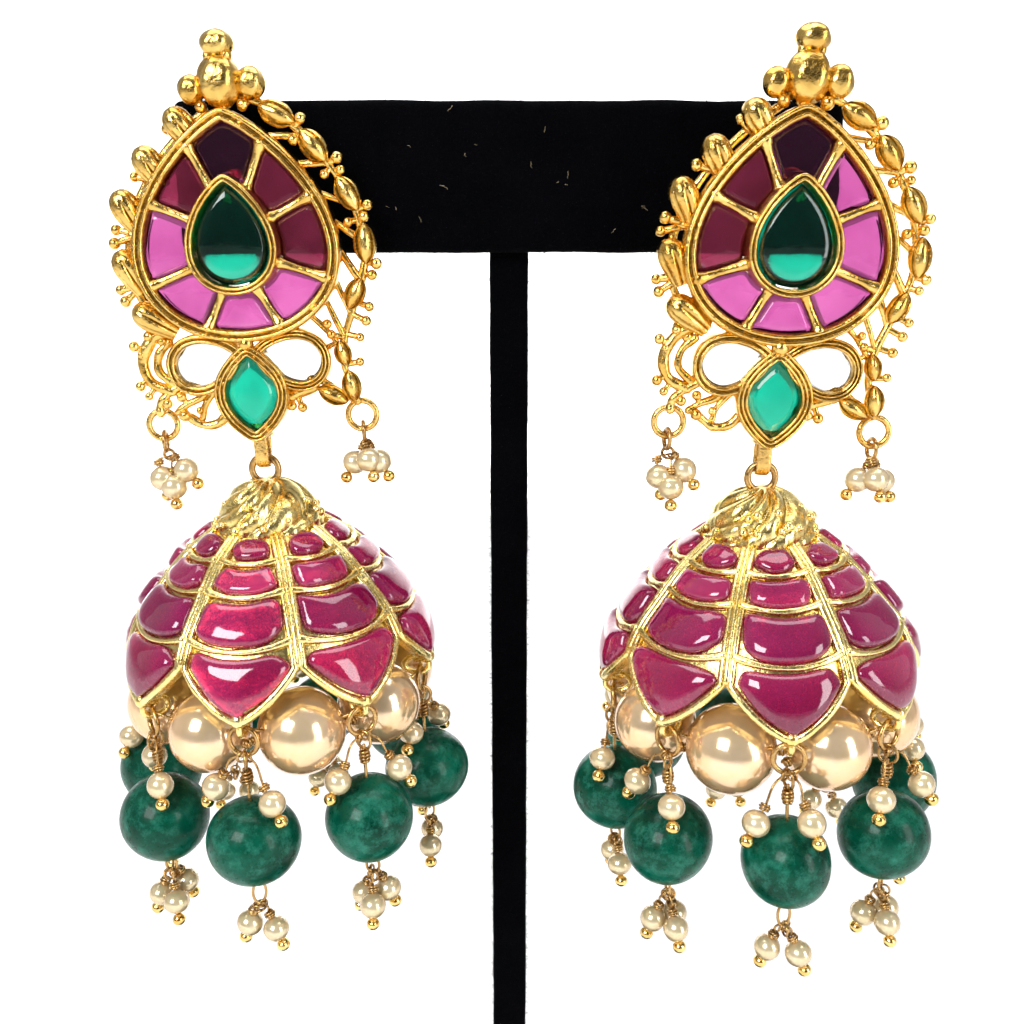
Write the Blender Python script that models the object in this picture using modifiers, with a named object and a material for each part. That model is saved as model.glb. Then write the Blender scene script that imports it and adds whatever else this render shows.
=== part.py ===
# A pair of jhumka earrings on a plain T-bar display stand.
# Metres, +Z up, the front faces -Y, the origin is on the floor under the middle of the base.
import math

import bmesh
import bpy
from mathutils import Matrix, Vector

mm = 0.001
collection_name = "jhumka_earrings_on_stand"

# Clearances
piece_gap = 0.3 * mm
stone_gap = 0.2 * mm
cell_gap = 0.33 * mm
fuse_overlap = 0.25 * mm

# Display stand
bar_length = 62.5 * mm
bar_height = 13.8 * mm
bar_depth = 8.0 * mm
bar_top = 140.0 * mm
bar_edge_round = 0.8 * mm
post_width = 3.8 * mm
stand_x = -1.2 * mm
base_length = 70.0 * mm
base_depth = 56.0 * mm
base_height = 8.0 * mm
base_edge_round = 1.0 * mm
socket_depth = 5.0 * mm

# Place of the earrings: the hinge is where the cap's eye hangs in the strap
hinge_below_bar_top = 33.2 * mm
hinge_spread = 48.2 * mm
left_forward = 0.0 * mm
right_forward = 3.5 * mm
stud_lean = math.radians(2.9)
dome_lean = math.radians(2.0)
left_dome_turn = math.radians(-3.8)
right_dome_turn = math.radians(-0.7)

# Stud plaque, measured up from the hinge
plaque_width = 19.2 * mm
plaque_height = 20.85 * mm
plaque_bottom = 11.35 * mm
plaque_front = 2.7 * mm
plaque_back = 0.6 * mm
rim_width = 1.2 * mm
divider_width = 0.7 * mm
divider_drop = 0.6 * mm
teardrop_power = 0.65
divider_angles = tuple(math.radians(a) for a in (40, 75, 121, 161))

# Main stone and its raised bezel, as shares of the plaque
emerald_width_share = 0.344
emerald_height_share = 0.424
emerald_lowered_share = 0.031
emerald_wall = 0.75 * mm
emerald_front = 4.2 * mm

# Two clear drops and the marquise under the plaque
clear_length = 5.3 * mm
clear_width = 3.6 * mm
clear_wall = 0.8 * mm
clear_side = 4.1 * mm
clear_height = 9.6 * mm
clear_tilt = math.radians(14)
marquise_width = 4.4 * mm
marquise_height = 6.7 * mm
marquise_wall = 1.0 * mm
marquise_centre = 6.5 * mm
lower_front = 2.4 * mm
lower_back = 0.4 * mm

# Stones
stone_thickness = 1.7 * mm
stone_crown = 0.55 * mm
stone_bevel = 0.6 * mm
stone_sunk = 0.45 * mm

# Beads on top of the plaque
big_bead_radius = 2.0 * mm
top_bead_radius = 1.35 * mm
side_bead_radius = 1.2 * mm
bead_forward = 1.0 * mm
bead_rise = 0.4 * mm

# Wreath of buds round the plaque
wreath_offset = 1.25 * mm
wreath_forward = 0.5 * mm
scroll_forward = 0.75 * mm
stem_radius = 0.42 * mm
bud_length = 3.4 * mm
bud_width = 2.4 * mm
leaf_length = 4.0 * mm
leaf_width = 2.0 * mm
bud_depth = 1.1 * mm
twig_radius = 0.33 * mm
twig_length = 1.7 * mm
left_stem_start, left_stem_end = 128, 150
right_stem_start, right_stem_end = 22, 140
leaf_reach = 8

# Side rings and their links
ring_radius = 1.38 * mm
ring_wire = 0.28 * mm
ring_height = 3.7 * mm
ring_side_left = 9.3 * mm
ring_side_right = 10.1 * mm
link_radius = 0.95 * mm
link_wire = 0.22 * mm
link_gap = 0.2 * mm

# Strap that carries the dome
strap_width = 1.4 * mm
strap_thickness = 0.35 * mm
strap_bend = 0.75 * mm
strap_rise = 3.0 * mm

# Ear post with its plate and nut
ear_post_above_centre = 3.6 * mm
ear_post_radius = 0.5 * mm
ear_plate_radius = 2.2 * mm
ear_plate_thickness = 0.7 * mm
ear_nut_radius = 3.0 * mm
ear_nut_length = 3.0 * mm
ear_hole_radius = 0.85 * mm

# Dome, measured down from the hinge
eye_radius = 1.32 * mm
eye_wire = 0.33 * mm
dome_radius = 15.0 * mm
dome_top = 6.85 * mm
dome_height = 14.6 * mm
dome_wall = 0.9 * mm
petal_count = 8
rib_height = 0.55 * mm
bar_relief = 0.25 * mm
ruby_relief = 0.9 * mm
valley_share = 0.677
petal_power = 1.4
cap_radius = 5.35 * mm
cap_top = 2.75 * mm
cap_bottom = 7.0 * mm

# Loop at each petal tip
loop_radius = 0.9 * mm
loop_wire = 0.26 * mm
loop_stretch = 1.45
loop_inset = 1.1 * mm
loop_wire_offset = 0.42 * mm

# Pearls strung from tip to tip
pearl_radius = 4.0 * mm
pearl_circle = 11.5 * mm
pearl_drop = 24.3 * mm
pearl_wire = 0.2 * mm

# Drops of green beads
jump_radius = 1.4 * mm
jump_wire = 0.2 * mm
bead_radius = 4.25 * mm
bead_drop = 33.7 * mm
neck_radius = 0.35 * mm

# Dome profile: share of the height, share of the radius
dome_profile = ((0.0, 0.337), (0.145, 0.533), (0.328, 0.7), (0.528, 0.86),
                (0.745, 0.957), (0.93, 1.0), (1.0, 0.993))
# Lines down a petal: share of the height down to the last cross bar, and the relief there
petal_rows = ((0.0, "bar"), (0.035, "stone"), (0.1, "stone"), (0.132, "bar"), (0.17, "stone"),
              (0.262, "stone"), (0.293, "bar"), (0.34, "stone"), (0.505, "stone"), (0.552, "bar"))
# Lines of the tip stone: share of the way from the last cross bar to the petal's edge
tip_rows = ((0.18, "stone"), (0.78, "stone"), (1.0, "bar"))
# Lines up the inner side: share of the way from the cap down to the edge
inner_rows = (1.0, 0.5, 0.0)
# Lines across a petal: share of its half angle, and the relief there
petal_columns = ((-1.0, "rib"), (-0.82, "low"), (-0.45, "stone"), (0.0, "stone"),
                 (0.45, "stone"), (0.82, "low"))
# Cap profile: share of the cap's radius, share of the way down from its top
cap_profile = ((0.0, 0.0), (0.17, 0.0), (0.22, 0.16), (0.5, 0.5), (0.86, 0.75), (1.0, 0.9),
               (0.9, 1.0), (0.0, 1.0))
# Buds on the left of the plaque and leaves on its right: degrees round the plaque from the top
bud_angles = (36, 57, 80, 106, 132)
twig_angles = (46, 69, 93, 119, 143)
leaf_angles = (29, 51, 75, 99, 122)
strut_angles = (62, 111, 134)
# Round beads and wires
bead_sides, bead_rings = 10, 6
small_sides, small_rings = 8, 6
bud_sides, bud_rings = 6, 4
ring_steps, ring_sides = 10, 5

hinge_x = hinge_spread / 2
hinge_height = bar_top - hinge_below_bar_top
plaque_centre = plaque_bottom + plaque_height / 2
emerald_width = plaque_width * emerald_width_share
emerald_height = plaque_height * emerald_height_share
emerald_centre = plaque_centre - plaque_height * emerald_lowered_share
ear_post_height = plaque_centre + ear_post_above_centre
bar_front = plaque_back + piece_gap + ear_plate_thickness + piece_gap
stand_y = bar_front + bar_depth / 2
plaque_top = plaque_centre + plaque_height / 2
loop_drop = dome_top + dome_height + loop_radius - fuse_overlap
loop_circle = dome_radius - loop_inset
jump_circle = loop_circle + loop_wire_offset
jump_drop = loop_drop + jump_radius
bezel_width = emerald_width + 2 * (stone_gap + emerald_wall)
bezel_height = emerald_height + 2 * (stone_gap + emerald_wall)


def clear_scene():
    for obj in list(bpy.data.objects):
        bpy.data.objects.remove(obj)


def make_collection(name):
    collection = bpy.data.collections.new(name)
    bpy.context.scene.collection.children.link(collection)
    return collection


def make_material(name, colour, roughness, metallic=0.0):
    material = bpy.data.materials.new(name)
    material.use_nodes = True
    shader = material.node_tree.nodes["Principled BSDF"]
    shader.inputs["Base Color"].default_value = (*colour, 1.0)
    shader.inputs["Roughness"].default_value = roughness
    shader.inputs["Metallic"].default_value = metallic
    return material


def take_active(matrix=None):
    """Bakes a matrix into the newest primitive and hands it over."""
    obj = bpy.context.active_object
    if matrix is not None:
        obj.data.transform(matrix)
    return obj


def sphere(radius, centre, sides=bead_sides, rings=bead_rings, squash=(1, 1, 1), turn=None):
    bpy.ops.mesh.primitive_uv_sphere_add(segments=sides, ring_count=rings, radius=radius)
    turn = turn or Matrix.Identity(4)
    return take_active(Matrix.Translation(centre) @ turn @ Matrix.Diagonal((*squash, 1)))


def torus(radius, wire, centre, turn, steps=ring_steps, sides=ring_sides, stretch=(1, 1, 1)):
    bpy.ops.mesh.primitive_torus_add(major_radius=radius, minor_radius=wire,
                                     major_segments=steps, minor_segments=sides)
    return take_active(Matrix.Translation(centre) @ Matrix.Diagonal((*stretch, 1)) @ turn)


def cylinder(radius, length, centre, turn=None, sides=12):
    bpy.ops.mesh.primitive_cylinder_add(vertices=sides, radius=radius, depth=length)
    return take_active(Matrix.Translation(centre) @ (turn or Matrix.Identity(4)))


def box(size, centre, edge_round=0.0):
    bpy.ops.mesh.primitive_cube_add(size=1)
    obj = take_active(Matrix.Translation(centre) @ Matrix.Diagonal((*size, 1)))
    if edge_round:
        bevel = obj.modifiers.new("edges", "BEVEL")
        bevel.width = edge_round
        bevel.segments = 1
    return obj


def curve_to_mesh(curve_object):
    """Turns a curve into a closed mesh object in the same place."""
    depsgraph = bpy.context.evaluated_depsgraph_get()
    mesh = bpy.data.meshes.new_from_object(curve_object.evaluated_get(depsgraph))
    work = bmesh.new()
    work.from_mesh(mesh)
    bmesh.ops.remove_doubles(work, verts=work.verts, dist=0.001 * mm)
    bmesh.ops.dissolve_limit(work, angle_limit=math.radians(0.5), verts=work.verts, edges=work.edges)
    bmesh.ops.recalc_face_normals(work, faces=work.faces)
    work.to_mesh(mesh)
    work.free()
    obj = bpy.data.objects.new(curve_object.name, mesh)
    bpy.context.scene.collection.objects.link(obj)
    obj.matrix_world = curve_object.matrix_world
    bpy.data.objects.remove(curve_object)
    return obj


def tube(points, radius, cyclic=False, roundness=1):
    curve = bpy.data.curves.new("tube", "CURVE")
    curve.dimensions = "3D"
    curve.bevel_depth = radius
    curve.bevel_resolution = roundness
    curve.use_fill_caps = True
    spline = curve.splines.new("POLY")
    spline.points.add(len(points) - 1)
    for slot, point in zip(spline.points, points):
        slot.co = (*point, 1)
    spline.use_cyclic_u = cyclic
    obj = bpy.data.objects.new("tube", curve)
    bpy.context.scene.collection.objects.link(obj)
    bpy.context.view_layer.update()
    return curve_to_mesh(obj)


def plate(outlines, back, front):
    """A flat outline in X and Z, with holes, that runs from its back plane to its front plane."""
    curve = bpy.data.curves.new("plate", "CURVE")
    curve.dimensions = "2D"
    curve.fill_mode = "BOTH"
    curve.extrude = (front + back) / 2
    for outline in outlines:
        spline = curve.splines.new("POLY")
        spline.points.add(len(outline) - 1)
        for slot, point in zip(spline.points, outline):
            slot.co = (point[0], point[1], 0, 1)
        spline.use_cyclic_u = True
    obj = bpy.data.objects.new("plate", curve)
    bpy.context.scene.collection.objects.link(obj)
    bpy.context.view_layer.update()
    obj = curve_to_mesh(obj)
    stand_up = Matrix.Rotation(math.radians(90), 4, "X")
    obj.data.transform(Matrix.Translation((0, -(front - back) / 2, 0)) @ stand_up)
    return obj


def fuse(pieces, cuts=()):
    """One mesh from overlapping pieces, less the cuts."""
    base = pieces[0]
    scrap = list(pieces) + list(cuts)
    for name, operation, operands in (("joined", "UNION", pieces[1:]), ("cut", "DIFFERENCE", cuts)):
        if not operands:
            continue
        group = bpy.data.collections.new(name)
        for operand in operands:
            group.objects.link(operand)
        boolean = base.modifiers.new(name, "BOOLEAN")
        boolean.operation = operation
        boolean.solver = "EXACT"
        boolean.operand_type = "COLLECTION"
        boolean.collection = group
    bpy.context.view_layer.update()
    depsgraph = bpy.context.evaluated_depsgraph_get()
    mesh = bpy.data.meshes.new_from_object(base.evaluated_get(depsgraph))
    for obj in scrap:
        bpy.data.objects.remove(obj)
    return tidy_mesh(mesh)


def tidy_mesh(mesh):
    work = bmesh.new()
    work.from_mesh(mesh)
    bmesh.ops.triangulate(work, faces=work.faces)
    work.to_mesh(mesh)
    work.free()
    return mesh


def take_mesh(obj):
    """The evaluated mesh of a single object, which is then removed."""
    bpy.context.view_layer.update()
    depsgraph = bpy.context.evaluated_depsgraph_get()
    mesh = bpy.data.meshes.new_from_object(obj.evaluated_get(depsgraph))
    bpy.data.objects.remove(obj)
    return mesh


# Outlines in the plane of the stud: x to the right, z up

def teardrop_point(angle, width, height):
    """A point of a teardrop with its apex up, by an angle that runs clockwise from the apex."""
    widest = 2 * math.atan(math.sqrt(1 + teardrop_power))
    fullest = math.sin(widest) * math.sin(widest / 2) ** teardrop_power
    side = math.sin(angle) * abs(math.sin(angle / 2)) ** teardrop_power / fullest
    return Vector((side * width / 2, math.cos(angle) * height / 2))


def teardrop(width, height, centre, points=18):
    middle = Vector((0, centre))
    return [teardrop_point(2 * math.pi * i / points, width, height) + middle for i in range(points)]


def lens(width, height, centre, points=6):
    """A marquise outline: two shallow arcs that meet in points above and below."""
    right = []
    for i in range(points):
        t = 1 - 2 * i / points
        right.append(Vector((width / 2 * (1 - t * t), height / 2 * t)))
    left = [-p for p in right]
    return [p + Vector((0, centre)) for p in right + left]


def side_drop(width, height, side, points=12):
    """The outline of a clear drop, whose apex points to the middle and slightly up."""
    turn = Matrix.Rotation(side * (math.pi / 2 - clear_tilt), 2)
    return [turn @ teardrop_point(2 * math.pi * i / points, width, height)
            for i in range(points)]


def moved(outline, shift):
    return [p + Vector(shift) for p in outline]


def wreath_point(degrees, side, outward=0.0):
    """A point beside the plaque, where side is -1 for left and 1 for right."""
    width = plaque_width + 2 * (wreath_offset + outward)
    height = plaque_height + 2 * (wreath_offset + outward)
    flat = teardrop_point(math.radians(degrees), width, height)
    return Vector((side * flat.x, -wreath_forward, flat.y + plaque_centre))


# Stones

def stone(outline, front):
    """A cut stone: girdle, crown facets and a table, with its back flat."""
    work = bmesh.new()
    back_y = -front + stone_thickness
    face = work.faces.new([work.verts.new((p.x, back_y, p.y)) for p in outline])
    raised = bmesh.ops.extrude_face_region(work, geom=[face])
    top = [f for f in raised["geom"] if isinstance(f, bmesh.types.BMFace)]
    top_verts = [v for v in raised["geom"] if isinstance(v, bmesh.types.BMVert)]
    bmesh.ops.translate(work, verts=top_verts, vec=(0, stone_crown - stone_thickness, 0))
    bmesh.ops.recalc_face_normals(work, faces=work.faces)
    bmesh.ops.inset_region(work, faces=top, thickness=stone_bevel, depth=stone_crown, use_even_offset=True)
    mesh = bpy.data.meshes.new("stone")
    work.to_mesh(mesh)
    work.free()
    return tidy_mesh(mesh)


def cell_outline(start, end):
    """The outline of a plaque stone between two dividers."""
    steps = 4
    room = divider_width / 2 + cell_gap
    rim = rim_width + cell_gap
    middle = Vector((0, emerald_centre))
    outer = []
    inner = []
    for i in range(steps + 1):
        angle = start + (end - start) * i / steps
        outer.append(teardrop_point(angle, plaque_width - 2 * rim, plaque_height - 2 * rim)
                     + Vector((0, plaque_centre)))
    for i in range(3):
        angle = end + (start - end) * i / 2
        inner.append(teardrop_point(angle, bezel_width + 2 * cell_gap, bezel_height + 2 * cell_gap)
                     + middle)
    start_side = (outer[0] - inner[-1]).normalized()
    end_side = (outer[-1] - inner[0]).normalized()
    start_shift = Vector((start_side.y, -start_side.x)) * room
    end_shift = Vector((-end_side.y, end_side.x)) * room
    outer[0] = outer[0] + start_shift
    inner[-1] = inner[-1] + start_shift
    outer[-1] = outer[-1] + end_shift
    inner[0] = inner[0] + end_shift
    return outer + inner


def plaque_stones():
    angles = list(divider_angles)
    edges = [-a for a in reversed(angles)] + angles
    edges.append(edges[0] + 2 * math.pi)
    front = plaque_front - stone_sunk
    return [stone(cell_outline(edges[i], edges[i + 1]), front) for i in range(len(edges) - 1)]


# Gold of the stud

def plaque_pieces():
    rim_outer = teardrop(plaque_width, plaque_height, plaque_centre)
    rim_inner = teardrop(plaque_width - 2 * rim_width, plaque_height - 2 * rim_width, plaque_centre)
    bezel_outer = teardrop(bezel_width, bezel_height, emerald_centre)
    bezel_inner = teardrop(emerald_width + 2 * stone_gap, emerald_height + 2 * stone_gap,
                           emerald_centre)
    pieces = [plate([rim_outer, rim_inner], plaque_back, plaque_front),
              plate([bezel_outer, bezel_inner], plaque_back, emerald_front)]
    for side in (-1, 1):
        for angle in divider_angles:
            start = teardrop_point(angle, bezel_width, bezel_height) + Vector((0, emerald_centre))
            end = teardrop_point(angle, plaque_width - 2 * rim_width, plaque_height - 2 * rim_width)
            end = end + Vector((0, plaque_centre))
            along = (end - start).normalized()
            start = start - along * fuse_overlap
            end = end + along * fuse_overlap
            across = Vector((along.y, -along.x)) * divider_width / 2
            corners = [start + across, end + across, end - across, start - across]
            corners = [Vector((side * p.x, p.y)) for p in corners]
            pieces.append(plate([corners], plaque_back - fuse_overlap, plaque_front - divider_drop))
    return pieces


def lower_settings():
    """Solid blanks of the three lower settings, which lower_openings then opens."""
    grown = 2 * (stone_gap + clear_wall)
    pieces = []
    for side in (-1, 1):
        outline = side_drop(clear_width + grown, clear_length + grown, side)
        stagger = side * fuse_overlap / 4
        pieces.append(plate([moved(outline, (side * clear_side, clear_height))],
                            lower_back + stagger, lower_front + stagger))
    grown = 2 * (stone_gap + marquise_wall)
    outline = lens(marquise_width + grown, marquise_height + grown, marquise_centre)
    pieces.append(plate([outline], lower_back + fuse_overlap, lower_front + fuse_overlap))
    return pieces


def lower_openings():
    """Cutters that open the lower settings from front to back."""
    room = 2 * stone_gap
    reach = emerald_front
    cutters = []
    for side in (-1, 1):
        outline = side_drop(clear_width + room, clear_length + room, side)
        cutters.append(plate([moved(outline, (side * clear_side, clear_height))], reach, reach))
    outline = lens(marquise_width + room, marquise_height + room, marquise_centre)
    cutters.append(plate([outline], reach, reach))
    return cutters


def top_beads():
    big = plaque_top + bead_rise + big_bead_radius - 2 * fuse_overlap
    top = big + big_bead_radius + top_bead_radius - 2 * fuse_overlap
    side = big_bead_radius + side_bead_radius - 2 * fuse_overlap
    places = ((0, big, big_bead_radius), (0, top, top_bead_radius),
              (-side, big - fuse_overlap, side_bead_radius), (side, big - fuse_overlap, side_bead_radius))
    return [sphere(radius, (x, -bead_forward, z), small_sides, small_rings) for x, z, radius in places]


def flat_bud(centre, direction, length, width):
    """A swollen bud with its long way along a direction in the stud's plane."""
    turn = Matrix.Rotation(math.atan2(direction.x, direction.z), 4, "Y")
    squash = (width / length, 2 * bud_depth / length, 1)
    return sphere(length / 2, centre, bud_sides, bud_rings, squash, turn)


def stem(side, start, end, steps):
    return [wreath_point(start + (end - start) * i / steps, side) for i in range(steps + 1)]


def wreath():
    pieces = []
    ring_left = Vector((-ring_side_left, -wreath_forward, ring_height + ring_radius))
    ring_right = Vector((ring_side_right, -wreath_forward, ring_height + ring_radius))
    bead_base = Vector((0, -wreath_forward, plaque_top + big_bead_radius / 2))
    left_route = stem(-1, left_stem_start, left_stem_end, 1)
    left_route += [Vector((-ring_side_left, -wreath_forward, clear_height)), ring_left]
    right_route = [bead_base] + stem(1, right_stem_start, right_stem_end, 6)
    right_route += [Vector((ring_side_right, -wreath_forward, clear_height)), ring_right]
    pieces += [tube(left_route, stem_radius), tube(right_route, stem_radius)]
    forward = Vector((0, -wreath_forward, 0))
    for degrees in bud_angles:
        place = wreath_point(degrees, -1)
        inward = Vector((0, -wreath_forward, plaque_centre)) - place
        pieces.append(flat_bud(place + forward, inward.normalized(), bud_length, bud_width))
    for degrees in leaf_angles:
        place = wreath_point(degrees, 1)
        along = wreath_point(degrees + leaf_reach, 1) - wreath_point(degrees - leaf_reach, 1)
        pieces.append(flat_bud(place + forward, along.normalized(), leaf_length, leaf_width))
    for side, angles in ((-1, twig_angles), (1, strut_angles)):
        for degrees in angles:
            inner = wreath_point(degrees, side, -wreath_offset - rim_width / 2)
            outer = wreath_point(degrees, side, twig_length / 2)
            pieces.append(tube([inner, outer], twig_radius, roundness=0))
    return pieces


def lower_scroll():
    """Curls from the marquise setting out to the side rings, and a leaf on each."""
    pieces = []
    tip = Vector((0, -scroll_forward, marquise_centre - marquise_height / 4))
    for side, ring_side in ((-1, ring_side_left), (1, ring_side_right)):
        out = Vector((side * ring_side, -scroll_forward, ring_height + ring_radius))
        low = Vector((side * ring_side / 2, -scroll_forward, ring_height + ring_radius / 2))
        pieces.append(tube([tip, low, out], twig_radius, roundness=0))
        clear_edge = Vector((side * (clear_side + clear_length / 2), -scroll_forward, clear_height))
        elbow = Vector((side * (ring_side + stem_radius), -scroll_forward, clear_height + clear_width / 5))
        pieces.append(tube([clear_edge, elbow], twig_radius, roundness=0))
        leaf_place = (low + out) / 2 + Vector((0, -wreath_forward, 0))
        pieces.append(flat_bud(leaf_place, (out - low).normalized(), leaf_length, leaf_width))
    return pieces


def side_rings():
    face_on = Matrix.Rotation(math.radians(90), 4, "X")
    return [torus(ring_radius, ring_wire, (x, -wreath_forward, ring_height), face_on)
            for x in (-ring_side_left, ring_side_right)]


def strap():
    """A bent strip: down at the front, under the eye's wire and up again at the back."""
    outer_bend = strap_bend + strap_thickness
    steps = 6
    outer = []
    inner = []
    for i in range(steps + 1):
        angle = math.pi * i / steps
        outer.append((-outer_bend * math.cos(angle), -outer_bend * math.sin(angle)))
        inner.append((-strap_bend * math.cos(angle), -strap_bend * math.sin(angle)))
    top = strap_rise
    outline = [(-outer_bend, top)] + outer + [(outer_bend, top)]
    hole = [(strap_bend, top - strap_thickness)] + list(reversed(inner))
    hole += [(-strap_bend, top - strap_thickness)]
    obj = plate([[Vector(p) for p in outline], [Vector(p) for p in hole]],
                strap_width / 2, strap_width / 2)
    obj.data.transform(Matrix.Rotation(math.radians(90), 4, "Z"))
    return obj


def stud_frame():
    pieces = plaque_pieces() + lower_settings() + top_beads() + wreath()
    pieces += lower_scroll() + side_rings() + [strap()]
    return fuse(pieces, lower_openings())


def side_link():
    """A small ring that hangs in a side ring, edge on."""
    edge_on = Matrix.Rotation(math.radians(90), 4, "Y")
    drop = ring_radius - ring_wire - link_wire - link_gap + link_radius
    return take_mesh(torus(link_radius, link_wire, (0, -wreath_forward, ring_height - drop), edge_on))


def turned(profile, steps):
    """A turned solid from (radius, height) points that run from the top down."""
    mesh = bpy.data.meshes.new("turned")
    points = [(radius, 0, height) for radius, height in profile]
    mesh.from_pydata(points, [(i, i + 1) for i in range(len(points) - 1)], [])
    obj = bpy.data.objects.new("turned", mesh)
    bpy.context.scene.collection.objects.link(obj)
    screw = obj.modifiers.new("turn", "SCREW")
    screw.steps = steps
    screw.render_steps = steps
    screw.use_merge_vertices = True
    screw.merge_threshold = 0.001 * mm
    return obj


def ear_post(forward):
    """Plate behind the stud, post through the bar and nut behind it, as one plain piece."""
    start = plaque_back + piece_gap
    nut_start = bar_front + forward + bar_depth + piece_gap
    end = nut_start + ear_nut_length
    profile = ((0, end), (ear_nut_radius, end), (ear_nut_radius, nut_start),
               (ear_post_radius, nut_start), (ear_post_radius, start + ear_plate_thickness),
               (ear_plate_radius, start + ear_plate_thickness), (ear_plate_radius, start), (0, start))
    mesh = take_mesh(turned(profile, 10))
    mesh.transform(Matrix.Translation((0, 0, ear_post_height)) @ Matrix.Rotation(math.radians(-90), 4, "X"))
    return mesh


# Dome

def profile_radius(share):
    for (low, low_radius), (high, high_radius) in zip(dome_profile, dome_profile[1:]):
        if share <= high:
            part = (share - low) / (high - low)
            return dome_radius * (low_radius + part * (high_radius - low_radius))
    return dome_radius * dome_profile[-1][1]


def edge_share(across):
    """How far down the petal reaches, at a share of its half angle."""
    return valley_share + (1 - valley_share) * (1 - abs(across) ** petal_power)


def dome_point(angle, share, relief):
    radius = profile_radius(share) + relief
    down = dome_top + dome_height * share
    return Vector((math.sin(angle) * radius, -math.cos(angle) * radius, -down))


def relief_at(column, row):
    if column == "rib":
        return rib_height
    if row == "bar":
        return bar_relief
    if column == "low":
        return 0.0
    return ruby_relief


def dome_shell():
    """One grid round the dome: down the outer side, up the inner side and back to its first row."""
    half = math.pi / petal_count
    across = len(petal_columns)
    columns = across * petal_count
    bar_share = petal_rows[-1][0]
    outer_rows = len(petal_rows) + len(tip_rows)
    rows = outer_rows + len(inner_rows)

    def place(column, row):
        petal, step = divmod(column, across)
        share, kind = petal_columns[step]
        angle = (2 * petal + share) * half
        row = row % rows
        if row < len(petal_rows):
            down, row_kind = petal_rows[row]
            return dome_point(angle, down, relief_at(kind, row_kind))
        if row < outer_rows:
            part, row_kind = tip_rows[row - len(petal_rows)]
            down = bar_share + part * (edge_share(share) - bar_share)
            return dome_point(angle, down, relief_at(kind, row_kind))
        down = inner_rows[row - outer_rows] * edge_share(share)
        return dome_point(angle, down, -dome_wall)

    work = bmesh.new()
    bmesh.ops.create_grid(work, x_segments=columns, y_segments=rows, size=1)
    for vert in work.verts:
        column = round((vert.co.x + 1) / 2 * columns)
        row = round((1 - vert.co.y) / 2 * rows)
        vert.co = place(column, row)
    bmesh.ops.remove_doubles(work, verts=work.verts, dist=0.002 * mm)
    bmesh.ops.recalc_face_normals(work, faces=work.faces)
    mesh = bpy.data.meshes.new("dome_shell")
    work.to_mesh(mesh)
    work.free()
    obj = bpy.data.objects.new("dome_shell", mesh)
    bpy.context.scene.collection.objects.link(obj)
    return obj


def tip_angles():
    return [2 * math.pi * i / petal_count for i in range(petal_count)]


def cap():
    depth = cap_bottom - cap_top
    return turned([(r * cap_radius, -cap_top - down * depth) for r, down in cap_profile], 14)


def dome():
    upright = Matrix.Rotation(math.radians(90), 4, "X")
    pieces = [dome_shell(), cap(), torus(eye_radius, eye_wire, (0, 0, -eye_radius), upright, 12, 5)]
    for angle in tip_angles():
        spin = Matrix.Rotation(angle, 4, "Z")
        along = Matrix.Rotation(math.radians(90), 4, "Y")
        loop = torus(loop_radius, loop_wire, (0, 0, 0), along, 8, 4, (1, loop_stretch, 1))
        loop.data.transform(spin @ Matrix.Translation((0, -loop_circle, -loop_drop)))
        pieces.append(loop)
    return fuse(pieces)


def pearl_ring():
    """Eight pearls on one wire, which passes through the loops at the petal tips."""
    route = []
    pieces = []
    half = math.pi / petal_count
    tip_circle = loop_circle - loop_wire_offset
    for angle in tip_angles():
        for turn, circle, drop in ((0, tip_circle, loop_drop), (half, pearl_circle, pearl_drop)):
            a = angle + turn
            route.append((math.sin(a) * circle, -math.cos(a) * circle, -drop))
    pieces.append(tube(route, pearl_wire, cyclic=True, roundness=0))
    for angle in tip_angles():
        a = angle + half
        centre = (math.sin(a) * pearl_circle, -math.cos(a) * pearl_circle, -pearl_drop)
        pieces.append(sphere(pearl_radius, centre))
    return fuse(pieces)


def green_drop():
    """Ring through the tip's loop, neck and bead, below the front petal."""
    facing = Matrix.Rotation(math.radians(90), 4, "X")
    ring = torus(jump_radius, jump_wire, (0, -jump_circle, -jump_drop), facing)
    bead = sphere(bead_radius, (0, -jump_circle, -bead_drop))
    neck_top = -(jump_drop + jump_radius)
    neck_bottom = -(bead_drop - bead_radius) - fuse_overlap * 2
    neck = cylinder(neck_radius, neck_top - neck_bottom, (0, -jump_circle, (neck_top + neck_bottom) / 2),
                    None, 6)
    return fuse([bead, neck, ring])


# Stand

def stand_tee(hole_places):
    bar_middle = (stand_x, stand_y, bar_top - bar_height / 2)
    bar = box((bar_length, bar_depth, bar_height), bar_middle, bar_edge_round)
    bottom = base_height - socket_depth + piece_gap
    height = bar_top - bar_height + fuse_overlap - bottom
    post = box((post_width, post_width, height), (stand_x, stand_y, bottom + height / 2))
    along = Matrix.Rotation(math.radians(90), 4, "X")
    holes = [cylinder(ear_hole_radius, bar_depth * 2, (x, stand_y, z), along) for x, z in hole_places]
    return fuse([bar, post], holes)


def stand_base():
    block = box((base_length, base_depth, base_height), (stand_x, 0, base_height / 2), base_edge_round)
    width = post_width + 2 * piece_gap
    socket_floor = base_height - socket_depth
    socket = box((width, width, socket_depth * 2), (stand_x, stand_y, socket_floor + socket_depth))
    return fuse([block], [socket])


def place(collection, name, mesh, material, parent=None, matrix=None):
    obj = bpy.data.objects.new(name, mesh.copy())
    obj.data.materials.clear()
    obj.data.materials.append(material)
    obj.data.shade_smooth()
    obj.data.set_sharp_from_angle(angle=math.radians(35))
    if matrix is not None:
        obj.data.transform(matrix)
    obj.parent = parent
    collection.objects.link(obj)
    return obj


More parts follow.
